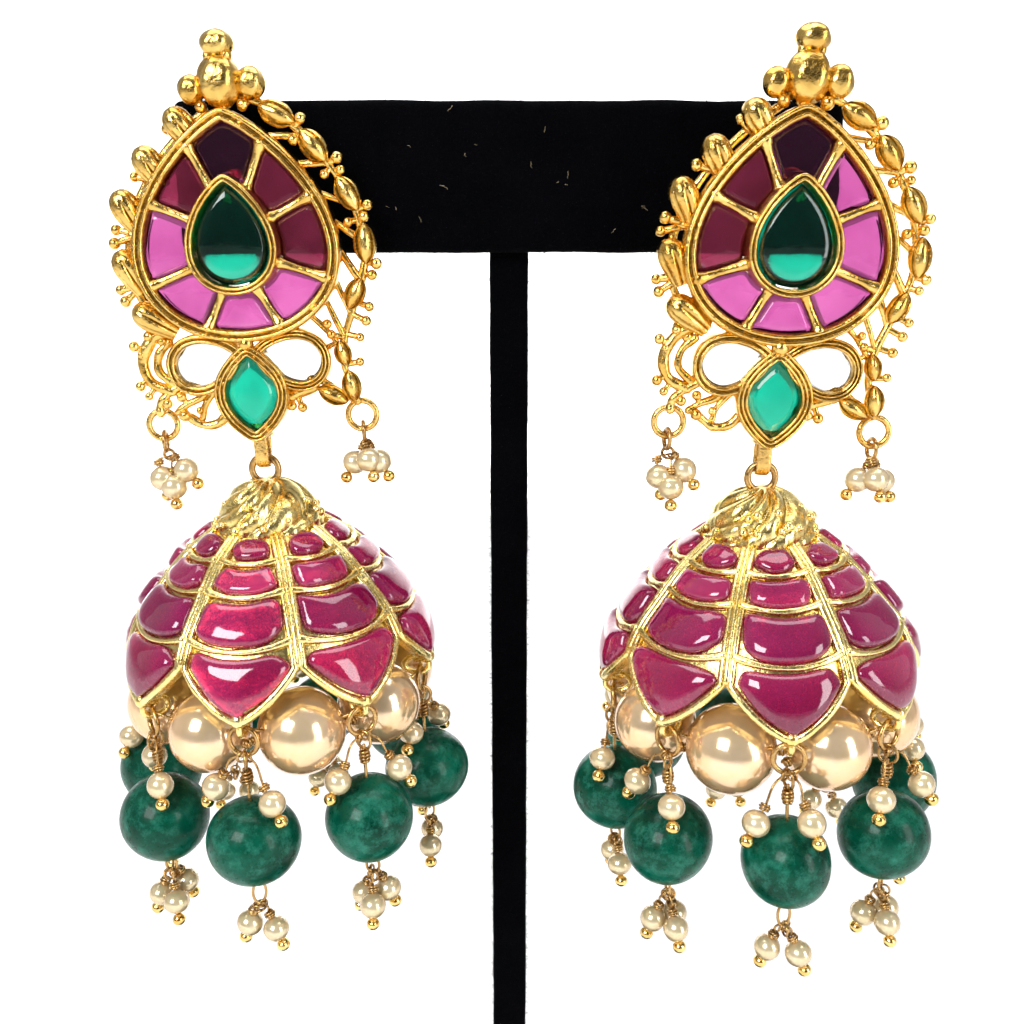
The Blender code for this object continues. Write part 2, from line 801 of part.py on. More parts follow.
def make_empty(collection, name, location, rotation):
    empty = bpy.data.objects.new(name, None)
    empty.location = location
    empty.rotation_euler = rotation
    collection.objects.link(empty)
    return empty


def build():
    clear_scene()
    parts = make_collection(collection_name)
    gold = make_material("gold", (0.83, 0.61, 0.22), 0.28, 1.0)
    velvet = make_material("black_velvet", (0.01, 0.01, 0.012), 0.95)
    ruby = make_material("ruby_glass", (0.55, 0.03, 0.22), 0.1)
    emerald = make_material("emerald_glass", (0.0, 0.42, 0.26), 0.1)
    clear = make_material("clear_glass", (0.92, 0.93, 0.94), 0.08)
    pearl = make_material("champagne_pearl", (0.86, 0.76, 0.62), 0.25)
    jade = make_material("green_stone", (0.07, 0.36, 0.27), 0.2)

    frame_mesh = stud_frame()
    petal_meshes = plaque_stones()
    emerald_mesh = stone(teardrop(emerald_width, emerald_height, emerald_centre, 10),
                         emerald_front - stone_sunk)
    marquise_mesh = stone(lens(marquise_width, marquise_height, marquise_centre, 5),
                          lower_front - stone_sunk)
    clear_meshes = {}
    for side, word in ((-1, "left"), (1, "right")):
        outline = moved(side_drop(clear_width, clear_length, side, 10),
                        (side * clear_side, clear_height))
        clear_meshes[word] = stone(outline, lower_front - stone_sunk)
    link_mesh = side_link()
    dome_mesh = dome()
    pearl_mesh = pearl_ring()
    drop_mesh = green_drop()

    holes = []
    for word, side, forward, turn in (("left", -1, left_forward, left_dome_turn),
                                      ("right", 1, right_forward, right_dome_turn)):
        hinge = Vector((stand_x + side * hinge_x, -forward, hinge_height))
        lean = side * stud_lean
        stud = make_empty(parts, "stud_" + word, hinge, (0, lean, 0))
        swing = make_empty(parts, "hinge_" + word, hinge, (0, -dome_lean, turn))
        holes.append((hinge.x + math.sin(lean) * ear_post_height,
                      hinge.z + math.cos(lean) * ear_post_height))
        place(parts, word + "_stud_frame", frame_mesh, gold, stud)
        place(parts, word + "_ear_post", ear_post(forward), gold, stud)
        for number, mesh in enumerate(petal_meshes, 1):
            place(parts, "%s_plaque_ruby_%d" % (word, number), mesh, ruby, stud)
        place(parts, word + "_centre_emerald", emerald_mesh, emerald, stud)
        place(parts, word + "_marquise_emerald", marquise_mesh, emerald, stud)
        for where in ("left", "right"):
            place(parts, "%s_clear_drop_%s" % (word, where), clear_meshes[where], clear, stud)
        for where, x in (("left", -ring_side_left), ("right", ring_side_right)):
            place(parts, "%s_side_link_%s" % (word, where), link_mesh, gold, stud,
                  Matrix.Translation((x, 0, 0)))
        place(parts, word + "_dome", dome_mesh, gold, swing)
        place(parts, word + "_pearl_ring", pearl_mesh, pearl, swing)
        for number, angle in enumerate(tip_angles(), 1):
            place(parts, "%s_green_drop_%d" % (word, number), drop_mesh, jade, swing,
                  Matrix.Rotation(angle, 4, "Z"))
    place(parts, "stand_tee", stand_tee(holes), velvet)
    place(parts, "stand_base", stand_base(), velvet)


build()
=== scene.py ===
import math
import random

import bmesh
import bpy
import numpy as np
from mathutils import Euler, Matrix, Vector


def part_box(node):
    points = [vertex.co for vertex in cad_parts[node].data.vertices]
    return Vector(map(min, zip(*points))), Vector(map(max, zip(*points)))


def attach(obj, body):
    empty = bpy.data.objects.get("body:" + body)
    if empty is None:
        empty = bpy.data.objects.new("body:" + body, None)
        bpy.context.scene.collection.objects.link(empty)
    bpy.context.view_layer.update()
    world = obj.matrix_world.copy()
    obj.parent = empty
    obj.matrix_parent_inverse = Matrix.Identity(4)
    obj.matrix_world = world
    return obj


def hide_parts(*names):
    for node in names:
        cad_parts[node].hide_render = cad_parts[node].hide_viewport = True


# The looks of a pair of jhumka earrings on a T bar stand. Shapes are worked out in millimetres in the
# frame of the stud or the dome, whose origin is the hinge, and are put in place in metres at the end.
# Angles among the sizes are in degrees.
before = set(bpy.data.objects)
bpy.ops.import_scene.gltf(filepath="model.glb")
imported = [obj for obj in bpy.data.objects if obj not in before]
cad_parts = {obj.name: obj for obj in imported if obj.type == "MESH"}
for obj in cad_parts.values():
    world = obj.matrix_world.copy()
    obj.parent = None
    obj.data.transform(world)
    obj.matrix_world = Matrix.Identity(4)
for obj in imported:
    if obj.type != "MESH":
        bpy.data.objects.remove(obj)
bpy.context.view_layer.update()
mm = 0.001
tau = 2 * math.pi
rng = random.Random(7)
noise = np.random.default_rng(7)

# Places and leans of the two earrings
side_signs = {"left": -1, "right": 1}
stand_x = -1.2
hinges = {"left": (-25.3, 0.0, 106.8), "right": (22.9, -3.5, 106.8)}
stud_lean = 2.9
dome_lean = 2.0
dome_turn = {"left": -3.8, "right": -0.7}

# Stud
plaque_size = (19.2, 20.85)
plaque_centre = 21.775
plaque_front, plaque_back = 2.7, 0.6
rim_width = 1.2
emerald_size = (6.6, 8.84)
emerald_centre = 21.13
emerald_front = 4.2
bezel_size = (8.5, 10.74)
divider_angles = (40, 75, 121, 161)
deep_stones = {"left": (2, 4, 5), "right": (1, 2)}
clear_size = (3.6, 5.3)
clear_place = (4.1, 9.6)
clear_tilt = 14
stone_room, stone_gap = 0.32, -0.08
marquise_size = (4.4, 6.7)
marquise_centre = 6.5
lower_front, lower_back = 2.4, 0.4
wreath_offset = 1.25
ring_height = 3.7
ring_places = {"left": -9.3, "right": 10.1}
side_ring_radius, side_ring_wire = 1.38, 0.32
strap_bend = 0.93
post_height, bar_depth, nut_room = 25.375, 8.0, 0.3

# Dome
petal_count = 8
dome_top, dome_height, dome_radius = 6.85, 14.6, 15.0
dome_wall = 0.8
valley_share = 0.677
petal_power = 1.4
loop_drop, loop_circle = 22.1, 13.9
pearl_radius, pearl_circle, pearl_drop = 4.0, 11.5, 24.3
jump_circle, jump_drop, jump_radius = 14.32, 23.5, 1.4
eye_radius, eye_wire = 1.32, 0.36
bead_radius, bead_drop = 4.25, 33.7
dome_profile = np.array(((0.0, 0.337), (0.145, 0.533), (0.328, 0.7), (0.528, 0.86),
                         (0.745, 0.957), (0.93, 1.0), (1.0, 0.993)))

# Wires, and the radii of each kind of seed pearl and its gold ball
jump_wire, stem_wire, pearl_wire = 0.24, 0.17, 0.16
wrap_wire, bow_wire, hook_wire, seed_wire = 0.14, 0.12, 0.11, 0.1
side_link_radius, side_link_wire = 0.95, 0.22
side_seed, upper_seed, lower_seed = (1.26, 0.62), (1.28, 0.66), (1.25, 0.64)
lower_seed_circle, lower_seed_drop = 1.42, 3.75

# Stand
bar_height, post_half = 13.8, 1.9
bar_fibres, base_fibres, loose_fibres = 30000, 24000, 26
fibre_length, fibre_wire, loose_wire = 0.5, 0.016, 0.012


# Meshes

def grid(rows, columns, wrap_rows=False, wrap_columns=True):
    """Quads over rows of points."""
    r = np.arange(rows if wrap_rows else rows - 1)
    c = np.arange(columns if wrap_columns else columns - 1)
    r, c = np.meshgrid(r, c, indexing="ij")
    down, along = (r + 1) % rows, (c + 1) % columns
    return np.stack([r * columns + c, r * columns + along, down * columns + along, down * columns + c],
                    -1).reshape(-1, 4)


class Piece:
    """The points and faces of one object, gathered in millimetres."""

    def __init__(self, name, materials):
        self.name = name
        self.materials = materials
        self.points = []
        self.faces = []
        self.slots = []
        self.count = 0

    def add(self, points, faces, slot=0):
        points = np.asarray(points, float).reshape(-1, 3)
        self.points.append(points)
        for block in faces:
            self.faces += (np.asarray(block) + self.count).tolist()
            self.slots += [slot] * len(block)
        self.count += len(points)

    def skin(self, rings, slot=0, wrap=False, close_start=False, close_end=False):
        """Closed rings of points one after the other, each with the same number of points."""
        rings = np.asarray(rings, float)
        rows, columns = rings.shape[:2]
        points = rings.reshape(-1, 3)
        faces = [grid(rows, columns, wrap)]
        for wanted, row in ((close_start, 0), (close_end, rows - 1)):
            if wanted:
                middle = len(points)
                points = np.vstack([points, rings[row].mean(0)])
                column = np.arange(columns)
                fan = np.stack([row * columns + column, row * columns + (column + 1) % columns,
                                np.full(columns, middle)], -1)
                faces.append(fan if row else fan[:, ::-1])
        self.add(points, faces, slot)

    def build(self, body, matrix, replaces, sharp):
        """Makes the object. Edges over the sharp angle stay sharp, and 0 leaves all smooth."""
        mesh = bpy.data.meshes.new(self.name)
        points = np.concatenate(self.points) * mm
        mesh.from_pydata(points.tolist(), [], self.faces)
        mesh.polygons.foreach_set("material_index", self.slots)
        work = bmesh.new()
        work.from_mesh(mesh)
        bmesh.ops.recalc_face_normals(work, faces=work.faces)
        work.to_mesh(mesh)
        work.free()
        mesh.transform(matrix)
        mesh.shade_smooth()
        if sharp:
            mesh.set_sharp_from_angle(angle=math.radians(sharp))
        for material in self.materials:
            mesh.materials.append(material)
        obj = bpy.data.objects.new(self.name, mesh)
        bpy.context.scene.collection.objects.link(obj)
        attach(obj, body)
        if replaces:
            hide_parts(*replaces)


def smooth_path(points, steps=8, cyclic=False):
    """A Catmull-Rom curve through points."""
    points = np.asarray(points, float)
    if cyclic:
        full = np.vstack([points[-1], points, points[0], points[1]])
    else:
        full = np.vstack([2 * points[0] - points[1], points, 2 * points[-1] - points[-2]])
    out = []
    for i in range(len(full) - 3):
        a, b, c, d = full[i:i + 4]
        for t in np.arange(steps) / steps:
            out.append(0.5 * (2 * b + (c - a) * t + (2 * a - 5 * b + 4 * c - d) * t ** 2
                              + (3 * b - a - 3 * c + d) * t ** 3))
    if not cyclic:
        out.append(points[-1])
    return np.array(out)


def circle_angles(count):
    """Even steps round a full turn."""
    return np.arange(count) * tau / count


def around(angle, radius, z):
    """A point at an angle round the dome's axis, counted from the front."""
    return np.array((math.sin(angle) * radius, -math.cos(angle) * radius, z))


def unit(vectors):
    return vectors / np.maximum(np.linalg.norm(vectors, axis=-1, keepdims=True), 1e-9)


def path_frames(path, cyclic, up):
    """Directions along a path, across it and upward, turned as little as possible where up is None."""
    if cyclic:
        along = np.roll(path, -1, 0) - np.roll(path, 1, 0)
    else:
        along = np.gradient(path, axis=0)
    along = unit(along)
    if up is not None:
        across = unit(np.cross(along, np.asarray(up, float)))
        return along, across, np.cross(across, along)
    start = np.array((0.0, 0.0, 1.0)) if abs(along[0][2]) < 0.9 else np.array((0.0, 1.0, 0.0))
    side = unit(np.cross(along[0], start))
    across = [side]
    for t in along[1:]:
        side = unit(side - t * side.dot(t))
        across.append(side)
    across = np.array(across)
    return along, across, np.cross(across, along)


def tube(piece, path, radius, sides=10, cyclic=False, up=None, flat=1.0, slot=0, rough=0.0):
    """A wire along a path. flat squashes it along its up direction, rough makes its radius uneven."""
    path = np.asarray(path, float)
    count = len(path)
    radius = np.broadcast_to(np.asarray(radius, float), (count,)).copy()
    if rough:
        radius *= 1 + rough * smooth_noise(count, 3)
    along, across, upward = path_frames(path, cyclic, up)
    if not cyclic:
        caps = ((0.95, 0.35), (0.7, 0.72), (0.3, 0.96))
        heads = [path[0] - along[0] * radius[0] * reach for size, reach in reversed(caps)]
        tails = [path[-1] + along[-1] * radius[-1] * reach for size, reach in caps]
        sizes = [size for size, reach in caps]
        radius = np.concatenate([radius[0] * np.array(sizes[::-1]), radius, radius[-1] * np.array(sizes)])
        path = np.vstack([heads, path, tails])
        across = np.vstack([across[:1].repeat(3, 0), across, across[-1:].repeat(3, 0)])
        upward = np.vstack([upward[:1].repeat(3, 0), upward, upward[-1:].repeat(3, 0)])
    angles = circle_angles(sides)
    rings = (path[:, None] + radius[:, None, None] * (np.cos(angles)[None, :, None] * across[:, None]
             + flat * np.sin(angles)[None, :, None] * upward[:, None]))
    piece.skin(rings, slot, wrap=cyclic, close_start=not cyclic, close_end=not cyclic)


def smooth_noise(count, passes):
    """Random values from -1 to 1 round a closed loop, smoothed."""
    values = noise.normal(size=count)
    for _ in range(passes):
        values = (np.roll(values, 1) + values + np.roll(values, -1)) / 3
    return values / max(np.abs(values).max(), 1e-6)


def circle(centre, radius, normal, steps=32, stretch=1.0, along=None):
    """Points of a ring about a centre, square to a normal, stretched along a direction in its plane."""
    normal = unit(np.asarray(normal, float))
    first = np.asarray(along, float) if along is not None else np.cross(normal, (0.31, 0.2, 0.93))
    first = unit(first - normal * first.dot(normal))
    second = np.cross(normal, first)
    angles = circle_angles(steps)
    return (np.asarray(centre, float) + radius * stretch * np.cos(angles)[:, None] * first
            + radius * np.sin(angles)[:, None] * second)


def ring(piece, centre, radius, wire, normal, steps=36, sides=10, stretch=1.0, along=None, slot=0):
    tube(piece, circle(centre, radius, normal, steps, stretch, along), wire, sides, cyclic=True,
         up=normal, slot=slot, rough=0.03)


def direction_matrix(direction):
    """Turns +Z onto a direction."""
    return np.array(Vector(direction).to_track_quat("Z", "Y").to_matrix())


def ball(piece, centre, radius, sides, rows, squash=(1, 1, 1), direction=(0, 0, 1), shape=None, slot=0):
    """A ball with its poles along a direction. shape gives radius factors from angles and a height share."""
    heights = np.linspace(math.pi, 0, rows + 2)[1:-1]
    angles = circle_angles(sides)
    rings = []
    for h in heights:
        factor = np.ones(sides) if shape is None else shape(angles, math.cos(h))
        r = math.sin(h) * factor
        rings.append(np.stack([np.cos(angles) * r, np.sin(angles) * r, np.full(sides, math.cos(h))], -1))
    rings = np.array(rings) * radius * np.array(squash)
    rings = rings @ direction_matrix(direction).T + np.asarray(centre, float)
    piece.skin(rings, slot, close_start=True, close_end=True)


def lathe(piece, profile, sides, centre, turn, start, flutes=0, flute_depth=0.0):
    """A turned form from (radius, height, fluted) rows, with flutes cut in its fluted rows."""
    angles = circle_angles(sides)
    rings = []
    for radius, height, fluted in profile:
        r = radius - fluted * flute_depth * (np.cos(angles * flutes) > 0)
        rings.append(np.stack([np.cos(angles) * r, np.sin(angles) * r, np.full(sides, start + height)], -1))
    piece.skin(np.array(rings) @ turn.T + np.array(centre), close_start=True, close_end=True)


# Outlines in the plane of the stud

def teardrop_at(angles, size):
    """A teardrop's points at angles round it from its tip."""
    power = 0.65
    widest = 2 * math.atan(math.sqrt(1 + power))
    fullest = math.sin(widest) * math.sin(widest / 2) ** power
    side = np.sin(angles) * np.abs(np.sin(angles / 2)) ** power / fullest
    return np.stack([side * size[0] / 2, np.cos(angles) * size[1] / 2], -1)


def teardrop(size, centre, points):
    return teardrop_at(circle_angles(points), size) + np.array((0.0, centre))


def grown(size, margin):
    """A width and height with a margin added to both."""
    return size[0] + margin, size[1] + margin


def lens(size, centre):
    """A marquise's outline."""
    points = 48
    t = 1 - 2 * np.arange(points) / points
    right = np.stack([size[0] / 2 * (1 - t * t), size[1] / 2 * t], -1)
    return np.vstack([right, -right]) + np.array((0.0, centre))


def side_drop(size, side, points):
    angle = side * (math.pi / 2 - math.radians(clear_tilt))
    turn = np.array(((math.cos(angle), -math.sin(angle)), (math.sin(angle), math.cos(angle))))
    outline = teardrop_at(circle_angles(points), size)
    return outline @ turn.T + np.array((side * clear_place[0], clear_place[1]))


def soften(outline, count, window, passes):
    """Even steps round an outline, with its corners rounded."""
    closed = np.vstack([outline, outline[:1]])
    lengths = np.concatenate([[0], np.cumsum(np.linalg.norm(np.diff(closed, axis=0), axis=1))])
    steps = np.arange(count) * lengths[-1] / count
    even = np.stack([np.interp(steps, lengths, closed[:, k]) for k in (0, 1)], -1)
    for _ in range(passes):
        even = sum(np.roll(even, k, 0) for k in range(-(window // 2), window // 2 + 1)) / window
    return even


def outline_normals(outline):
    along = unit(np.roll(outline, -1, 0) - np.roll(outline, 1, 0))
    normals = np.stack([along[:, 1], -along[:, 0]], -1)
    area = np.sum(outline[:, 0] * np.roll(outline[:, 1], -1) - np.roll(outline[:, 0], -1) * outline[:, 1])
    return normals if area > 0 else -normals


def band(piece, outline, profile, waver):
    """A frame round an outline. The profile's points are (distance outward, distance to the front)."""
    normals = outline_normals(outline)
    rings = []
    for outward, front in profile:
        off = outward + waver * smooth_noise(len(outline), 6)
        flat = outline + normals * np.broadcast_to(off, (len(outline),))[:, None]
        rings.append(np.stack([flat[:, 0], np.full(len(flat), -front), flat[:, 1]], -1))
    piece.skin(rings, wrap=True)


def rolled(width, back, front, rolls, groove):
    """The cross section of a rim with rolled strands on its front, from its inner to its outer edge."""
    profile = [(0.0, back), (0.0, front - groove)]
    steps = 7
    for k in range(rolls):
        for i in range(steps):
            t = (i + 0.5) / steps
            rise = math.sin(math.pi * t) ** 0.6
            profile.append(((k + t) * width / rolls, front - groove + groove * rise))
    profile += [(width, front - groove), (width, back)]
    return profile


def gem(piece, outline, front, thickness, crown, bevel, dome, tilt=0.0):
    """A cut stone: pavilion, girdle, bevelled crown and a table that swells a little."""
    middle = outline.mean(0)
    half_width = np.ptp(outline, axis=0).min() / 2
    rows = [(0.7 * bevel, thickness), (0.1, thickness - 0.2), (0.0, thickness - 0.4), (0.0, crown + 0.12),
            (0.05, crown), (bevel * 0.55, crown * 0.42), (bevel * 0.93, 0.05), (bevel * 1.08, 0.0)]
    rows += [(half_width * (1 - share), -dome * (1 - share ** 2)) for share in (0.7, 0.45, 0.2)]
    rings = []
    for inset, depth in rows:
        flat = middle + (outline - middle) * (1 - inset / half_width)
        y = np.full(len(flat), -(front - depth)) + tilt * (flat[:, 0] - middle[0])
        rings.append(np.stack([flat[:, 0], y, flat[:, 1]], -1))
    piece.skin(rings, close_start=True, close_end=True)


# Materials

def material(name, colour, roughness, **inputs):
    """A Principled material with its node tree and shader ready."""
    made = bpy.data.materials.new(name)
    made.use_nodes = True
    tree = made.node_tree
    shader = tree.nodes["Principled BSDF"]
    shader.inputs["Base Color"].default_value = (*colour, 1)
    shader.inputs["Roughness"].default_value = roughness
    for key, value in inputs.items():
        shader.inputs[key.replace("_", " ")].default_value = value
    return made, tree, shader


def texture(tree, scale, detail, rough=0.5):
    place = tree.nodes.new("ShaderNodeTexCoord")
    node = tree.nodes.new("ShaderNodeTexNoise")
    node.inputs["Scale"].default_value = scale
    node.inputs["Detail"].default_value = detail
    node.inputs["Roughness"].default_value = rough
    tree.links.new(place.outputs["Object"], node.inputs["Vector"])
    return node.outputs[0]


def ramp(tree, value, stops):
    node = tree.nodes.new("ShaderNodeValToRGB")
    elements = node.color_ramp.elements
    for element, (position, colour) in zip(elements, (stops[0], stops[-1])):
        element.position, element.color = position, (*colour, 1)
    for position, colour in stops[1:-1]:
        elements.new(position).color = (*colour, 1)
    tree.links.new(value, node.inputs["Fac"])
    return node.outputs["Color"]


def remap(tree, value, low, high, start, end):
    node = tree.nodes.new("ShaderNodeMapRange")
    for key, limit in (("From Min", start), ("From Max", end), ("To Min", low), ("To Max", high)):
        node.inputs[key].default_value = limit
    tree.links.new(value, node.inputs["Value"])
    return node.outputs["Result"]


def mix_colour(tree, factor, first, second, blend="MIX"):
    node = tree.nodes.new("ShaderNodeMix")
    node.data_type = "RGBA"
    node.blend_type = blend
    for socket, value in ((node.inputs[0], factor), (node.inputs[6], first), (node.inputs[7], second)):
        if isinstance(value, (int, float)):
            socket.default_value = value
        elif isinstance(value, tuple):
            socket.default_value = (*value, 1)
        else:
            tree.links.new(value, socket)
    return node.outputs[2]


def uneven_roughness(tree, shader, grain, low, high):
    tree.links.new(remap(tree, grain, low, high, 0.3, 0.7), shader.inputs["Roughness"])


def bump(tree, shader, heights, distance):
    """Adds bumps from (height value, share) pairs."""
    previous = None
    for value, share in heights:
        node = tree.nodes.new("ShaderNodeBump")
        node.inputs["Distance"].default_value = distance
        node.inputs["Strength"].default_value = share
        tree.links.new(value, node.inputs["Height"])
        if previous is not None:
            tree.links.new(previous, node.inputs["Normal"])
        previous = node.outputs["Normal"]
    tree.links.new(previous, shader.inputs["Normal"])


def make_gold(name, bright, deep, roughness=0.2, hammer=1.0, hollow_shade=0.45):
    made, tree, shader = material(name, bright, roughness, Metallic=1.0)
    blotch = texture(tree, 420, 4)
    fine = texture(tree, 2600, 5, 0.6)
    # Pointiness darkens the gold in its hollows and creases: painted shade.
    hollow = tree.nodes.new("ShaderNodeNewGeometry").outputs["Pointiness"]
    hollow_shade_mask = remap(tree, hollow, 0.0, 1.0, 0.44, 0.54)
    colour = ramp(tree, blotch, ((0.3, deep), (0.62, bright)))
    dark = tuple(c * hollow_shade for c in deep)
    shaded = mix_colour(tree, hollow_shade_mask, dark, colour)
    tree.links.new(shaded, shader.inputs["Base Color"])
    uneven_roughness(tree, shader, fine, roughness * 0.7, roughness * 1.5)
    dents = texture(tree, 900, 3, 0.55)
    bump(tree, shader, ((dents, 0.5 * hammer), (fine, 0.22 * hammer)), 0.00016)
    return made


def make_glass(name, colour, deep, transmission, roughness=0.04, coat=0.5, cloud=300, ior=1.5, bumps=0.12,
               varied=False):
    """Glass with a cloudy body. varied tints each stone of a piece a little differently."""
    made, tree, shader = material(name, colour, roughness, Transmission_Weight=transmission, IOR=ior,
                                  Coat_Weight=coat, Coat_Roughness=0.03)
    cloudy = texture(tree, cloud, 2.5, 0.5)
    body = ramp(tree, cloudy, ((0.32, deep), (0.68, colour)))
    if varied:
        island = tree.nodes.new("ShaderNodeNewGeometry").outputs["Random Per Island"]
        tints = ramp(tree, island, ((0.0, (0.60, 0.5, 0.8)), (0.5, (1, 1, 1)), (1.0, (1.15, 2.2, 1.5))))
        body = mix_colour(tree, 1.0, body, tints, "MULTIPLY")
    tree.links.new(body, shader.inputs["Base Color"])
    fine = texture(tree, 1500, 4, 0.6)
    uneven_roughness(tree, shader, fine, roughness * 0.6, roughness * 2.0)
    wavy = texture(tree, 260, 2, 0.4)
    bump(tree, shader, ((wavy, bumps), (fine, bumps * 0.2)), 0.00022)
    return made


def make_pearl(name, core, edge, bloom, roughness, metal, scale=500):
    made, tree, shader = material(name, core, roughness, Metallic=metal, Coat_Weight=0.7, Coat_Roughness=0.12)
    veil = texture(tree, scale, 4)
    body = mix_colour(tree, remap(tree, veil, 0.0, 0.5, 0.35, 0.7), core, bloom)
    # The facing mix turns the pearl towards the edge colour at its rim: painted shade and sheen.
    facing = tree.nodes.new("ShaderNodeLayerWeight")
    facing.inputs["Blend"].default_value = 0.42
    lustre = mix_colour(tree, facing.outputs["Facing"], body, edge)
    tree.links.new(lustre, shader.inputs["Base Color"])
    grain = texture(tree, 1800, 3)
    uneven_roughness(tree, shader, grain, roughness * 0.8, roughness * 1.3)
    bump(tree, shader, ((veil, 0.05), (grain, 0.04)), 0.00015)
    return made


def make_stone(name):
    made, tree, shader = material(name, (0.02, 0.22, 0.13), 0.2, Coat_Weight=0.12, Coat_Roughness=0.03,
                                  Subsurface_Weight=0.25, Subsurface_Scale=0.0008, Specular_IOR_Level=0.1)
    shader.inputs["Subsurface Radius"].default_value = (0.3, 1.0, 0.7)
    cloud = texture(tree, 230, 5, 0.65)
    vein = texture(tree, 700, 6, 0.75)
    base = ramp(tree, cloud, ((0.3, (0.0, 0.022, 0.012)), (0.52, (0.0, 0.062, 0.034)),
                              (0.75, (0.001, 0.13, 0.08))))
    flecks = remap(tree, vein, 0.0, 0.75, 0.47, 0.70)
    tree.links.new(mix_colour(tree, flecks, base, (0.03, 0.22, 0.15)), shader.inputs["Base Color"])
    grain = texture(tree, 2400, 4)
    uneven_roughness(tree, shader, grain, 0.24, 0.42)
    bump(tree, shader, ((cloud, 0.06), (grain, 0.05)), 0.00015)
    return made


def make_velvet(name):
    made, tree, shader = material(name, (0.001, 0.001, 0.0015), 0.95, Sheen_Weight=0.008, Sheen_Roughness=0.5,
                                  Specular_IOR_Level=0.02)
    nap = texture(tree, 160, 5, 0.7)
    pile = texture(tree, 5200, 3, 0.7)
    colour = ramp(tree, nap, ((0.3, (0.0003, 0.0004, 0.0008)), (0.72, (0.0012, 0.0012, 0.002))))
    lint = mix_colour(tree, remap(tree, pile, 0.0, 0.5, 0.45, 0.75), colour, (0.003, 0.003, 0.004))
    tree.links.new(lint, shader.inputs["Base Color"])
    bump(tree, shader, ((pile, 0.8), (nap, 0.3)), 0.0002)
    return made


# cast_gold's darker colours are painted shade for the backlit stud, and dome_gold's brighter ones are painted
# light for the cap's highlights.
gold = make_gold("cast_gold", (0.90, 0.62, 0.19), (0.70, 0.39, 0.075), 0.18, 1.5)
dome_gold = make_gold("dome_gold", (1.0, 0.83, 0.36), (1.0, 0.71, 0.22), 0.22, 0.9, 0.6)
wire_gold = make_gold("bronze_wire", (0.62, 0.39, 0.15), (0.38, 0.21, 0.07), 0.26, 0.5)
strap_gold = make_gold("strap_gold", (0.86, 0.56, 0.18), (0.62, 0.34, 0.08), 0.22, 1.5)
ball_gold = make_gold("ball_gold", (0.98, 0.70, 0.26), (0.80, 0.47, 0.12), 0.18, 0.9)
stud_ruby = make_glass("stud_ruby_glass", (0.34, 0.072, 0.22), (0.26, 0.042, 0.16), 0.96, coat=0.2)
deep_ruby = make_glass("deep_ruby_glass", (0.27, 0.028, 0.075), (0.18, 0.016, 0.045), 0.6, coat=0.3)
dome_ruby = make_glass("dome_ruby_glass", (0.60, 0.030, 0.18), (0.36, 0.010, 0.09), 0.57, coat=0.4, cloud=130,
                       ior=1.55, bumps=0.09, varied=True)
emerald = make_glass("emerald_glass", (0.002, 0.26, 0.165), (0.0005, 0.19, 0.12), 0.96, coat=0.1)
clear = make_glass("clear_glass", (1.0, 1.0, 1.0), (0.95, 0.96, 0.97), 1.0, 0.02)
pearl = make_pearl("champagne_pearl", (0.89, 0.67, 0.38), (0.82, 0.42, 0.15), (0.96, 0.75, 0.58), 0.15, 0.62)
seed = make_pearl("seed_pearl", (0.78, 0.65, 0.38), (0.50, 0.33, 0.15), (0.87, 0.75, 0.56), 0.2, 0.45, 900)
jade = make_stone("mottled_green_stone")
velvet = make_velvet("black_velvet")


# Stud

def at(x, z, front):
    """A point of the stud from its place as seen and its distance to the front."""
    return np.array((x, -front, z), float)


def cell_outline(start, end):
    """A plaque stone's outline between two dividers."""
    outer_size = grown(plaque_size, -2 * (rim_width + stone_gap))
    inner_size = grown(bezel_size, 2 * stone_gap)
    outer = teardrop_at(np.linspace(start, end, 14), outer_size) + np.array((0, plaque_centre))
    inner = teardrop_at(np.linspace(end, start, 10), inner_size) + np.array((0, emerald_centre))
    for first, last, sign in ((0, -1, 1), (-1, 0, -1)):
        side = unit(outer[first] - inner[last])
        shift = np.array((side[1], -side[0])) * stone_room * sign
        outer[first] += shift
        inner[last] += shift
    return soften(np.vstack([outer, inner]), 96, 5, 2)


def add_bud(piece, centre, tail):
    """A swollen bud whose creased tail runs down to the rim."""
    width, creases = 2.75, 7
    centre, tail = at(*centre, 1.2), at(*tail, 0.9)
    axis = unit(centre - tail)
    head = centre + axis * width * 0.6
    path = smooth_path([head, centre, (centre + tail) / 2 + (0, -0.1, 0), tail - axis * 0.4], 9)
    along, across, upward = path_frames(path, False, (0, -1, 0))
    t = np.linspace(0, 1, len(path))
    swell = np.interp(t, (0, 0.04, 0.1, 0.2, 0.33, 0.5, 0.67, 0.85, 1),
                      (0.3, 0.55, 0.78, 0.95, 1.0, 0.97, 0.87, 0.72, 0.6))
    angles = circle_angles(56)
    grooves = 1 - np.abs(np.sin(angles * creases / 2 + 0.4)) ** 0.4
    rings = []
    for k in range(len(path)):
        r = width / 2 * swell[k] * (1 - 0.3 * grooves * min(1, 0.15 + 1.3 * t[k]))
        rings.append(path[k] + (np.cos(angles) * r)[:, None] * across[k]
                     + (np.sin(angles) * r)[:, None] * upward[k])
    piece.skin(rings, close_start=True, close_end=True)


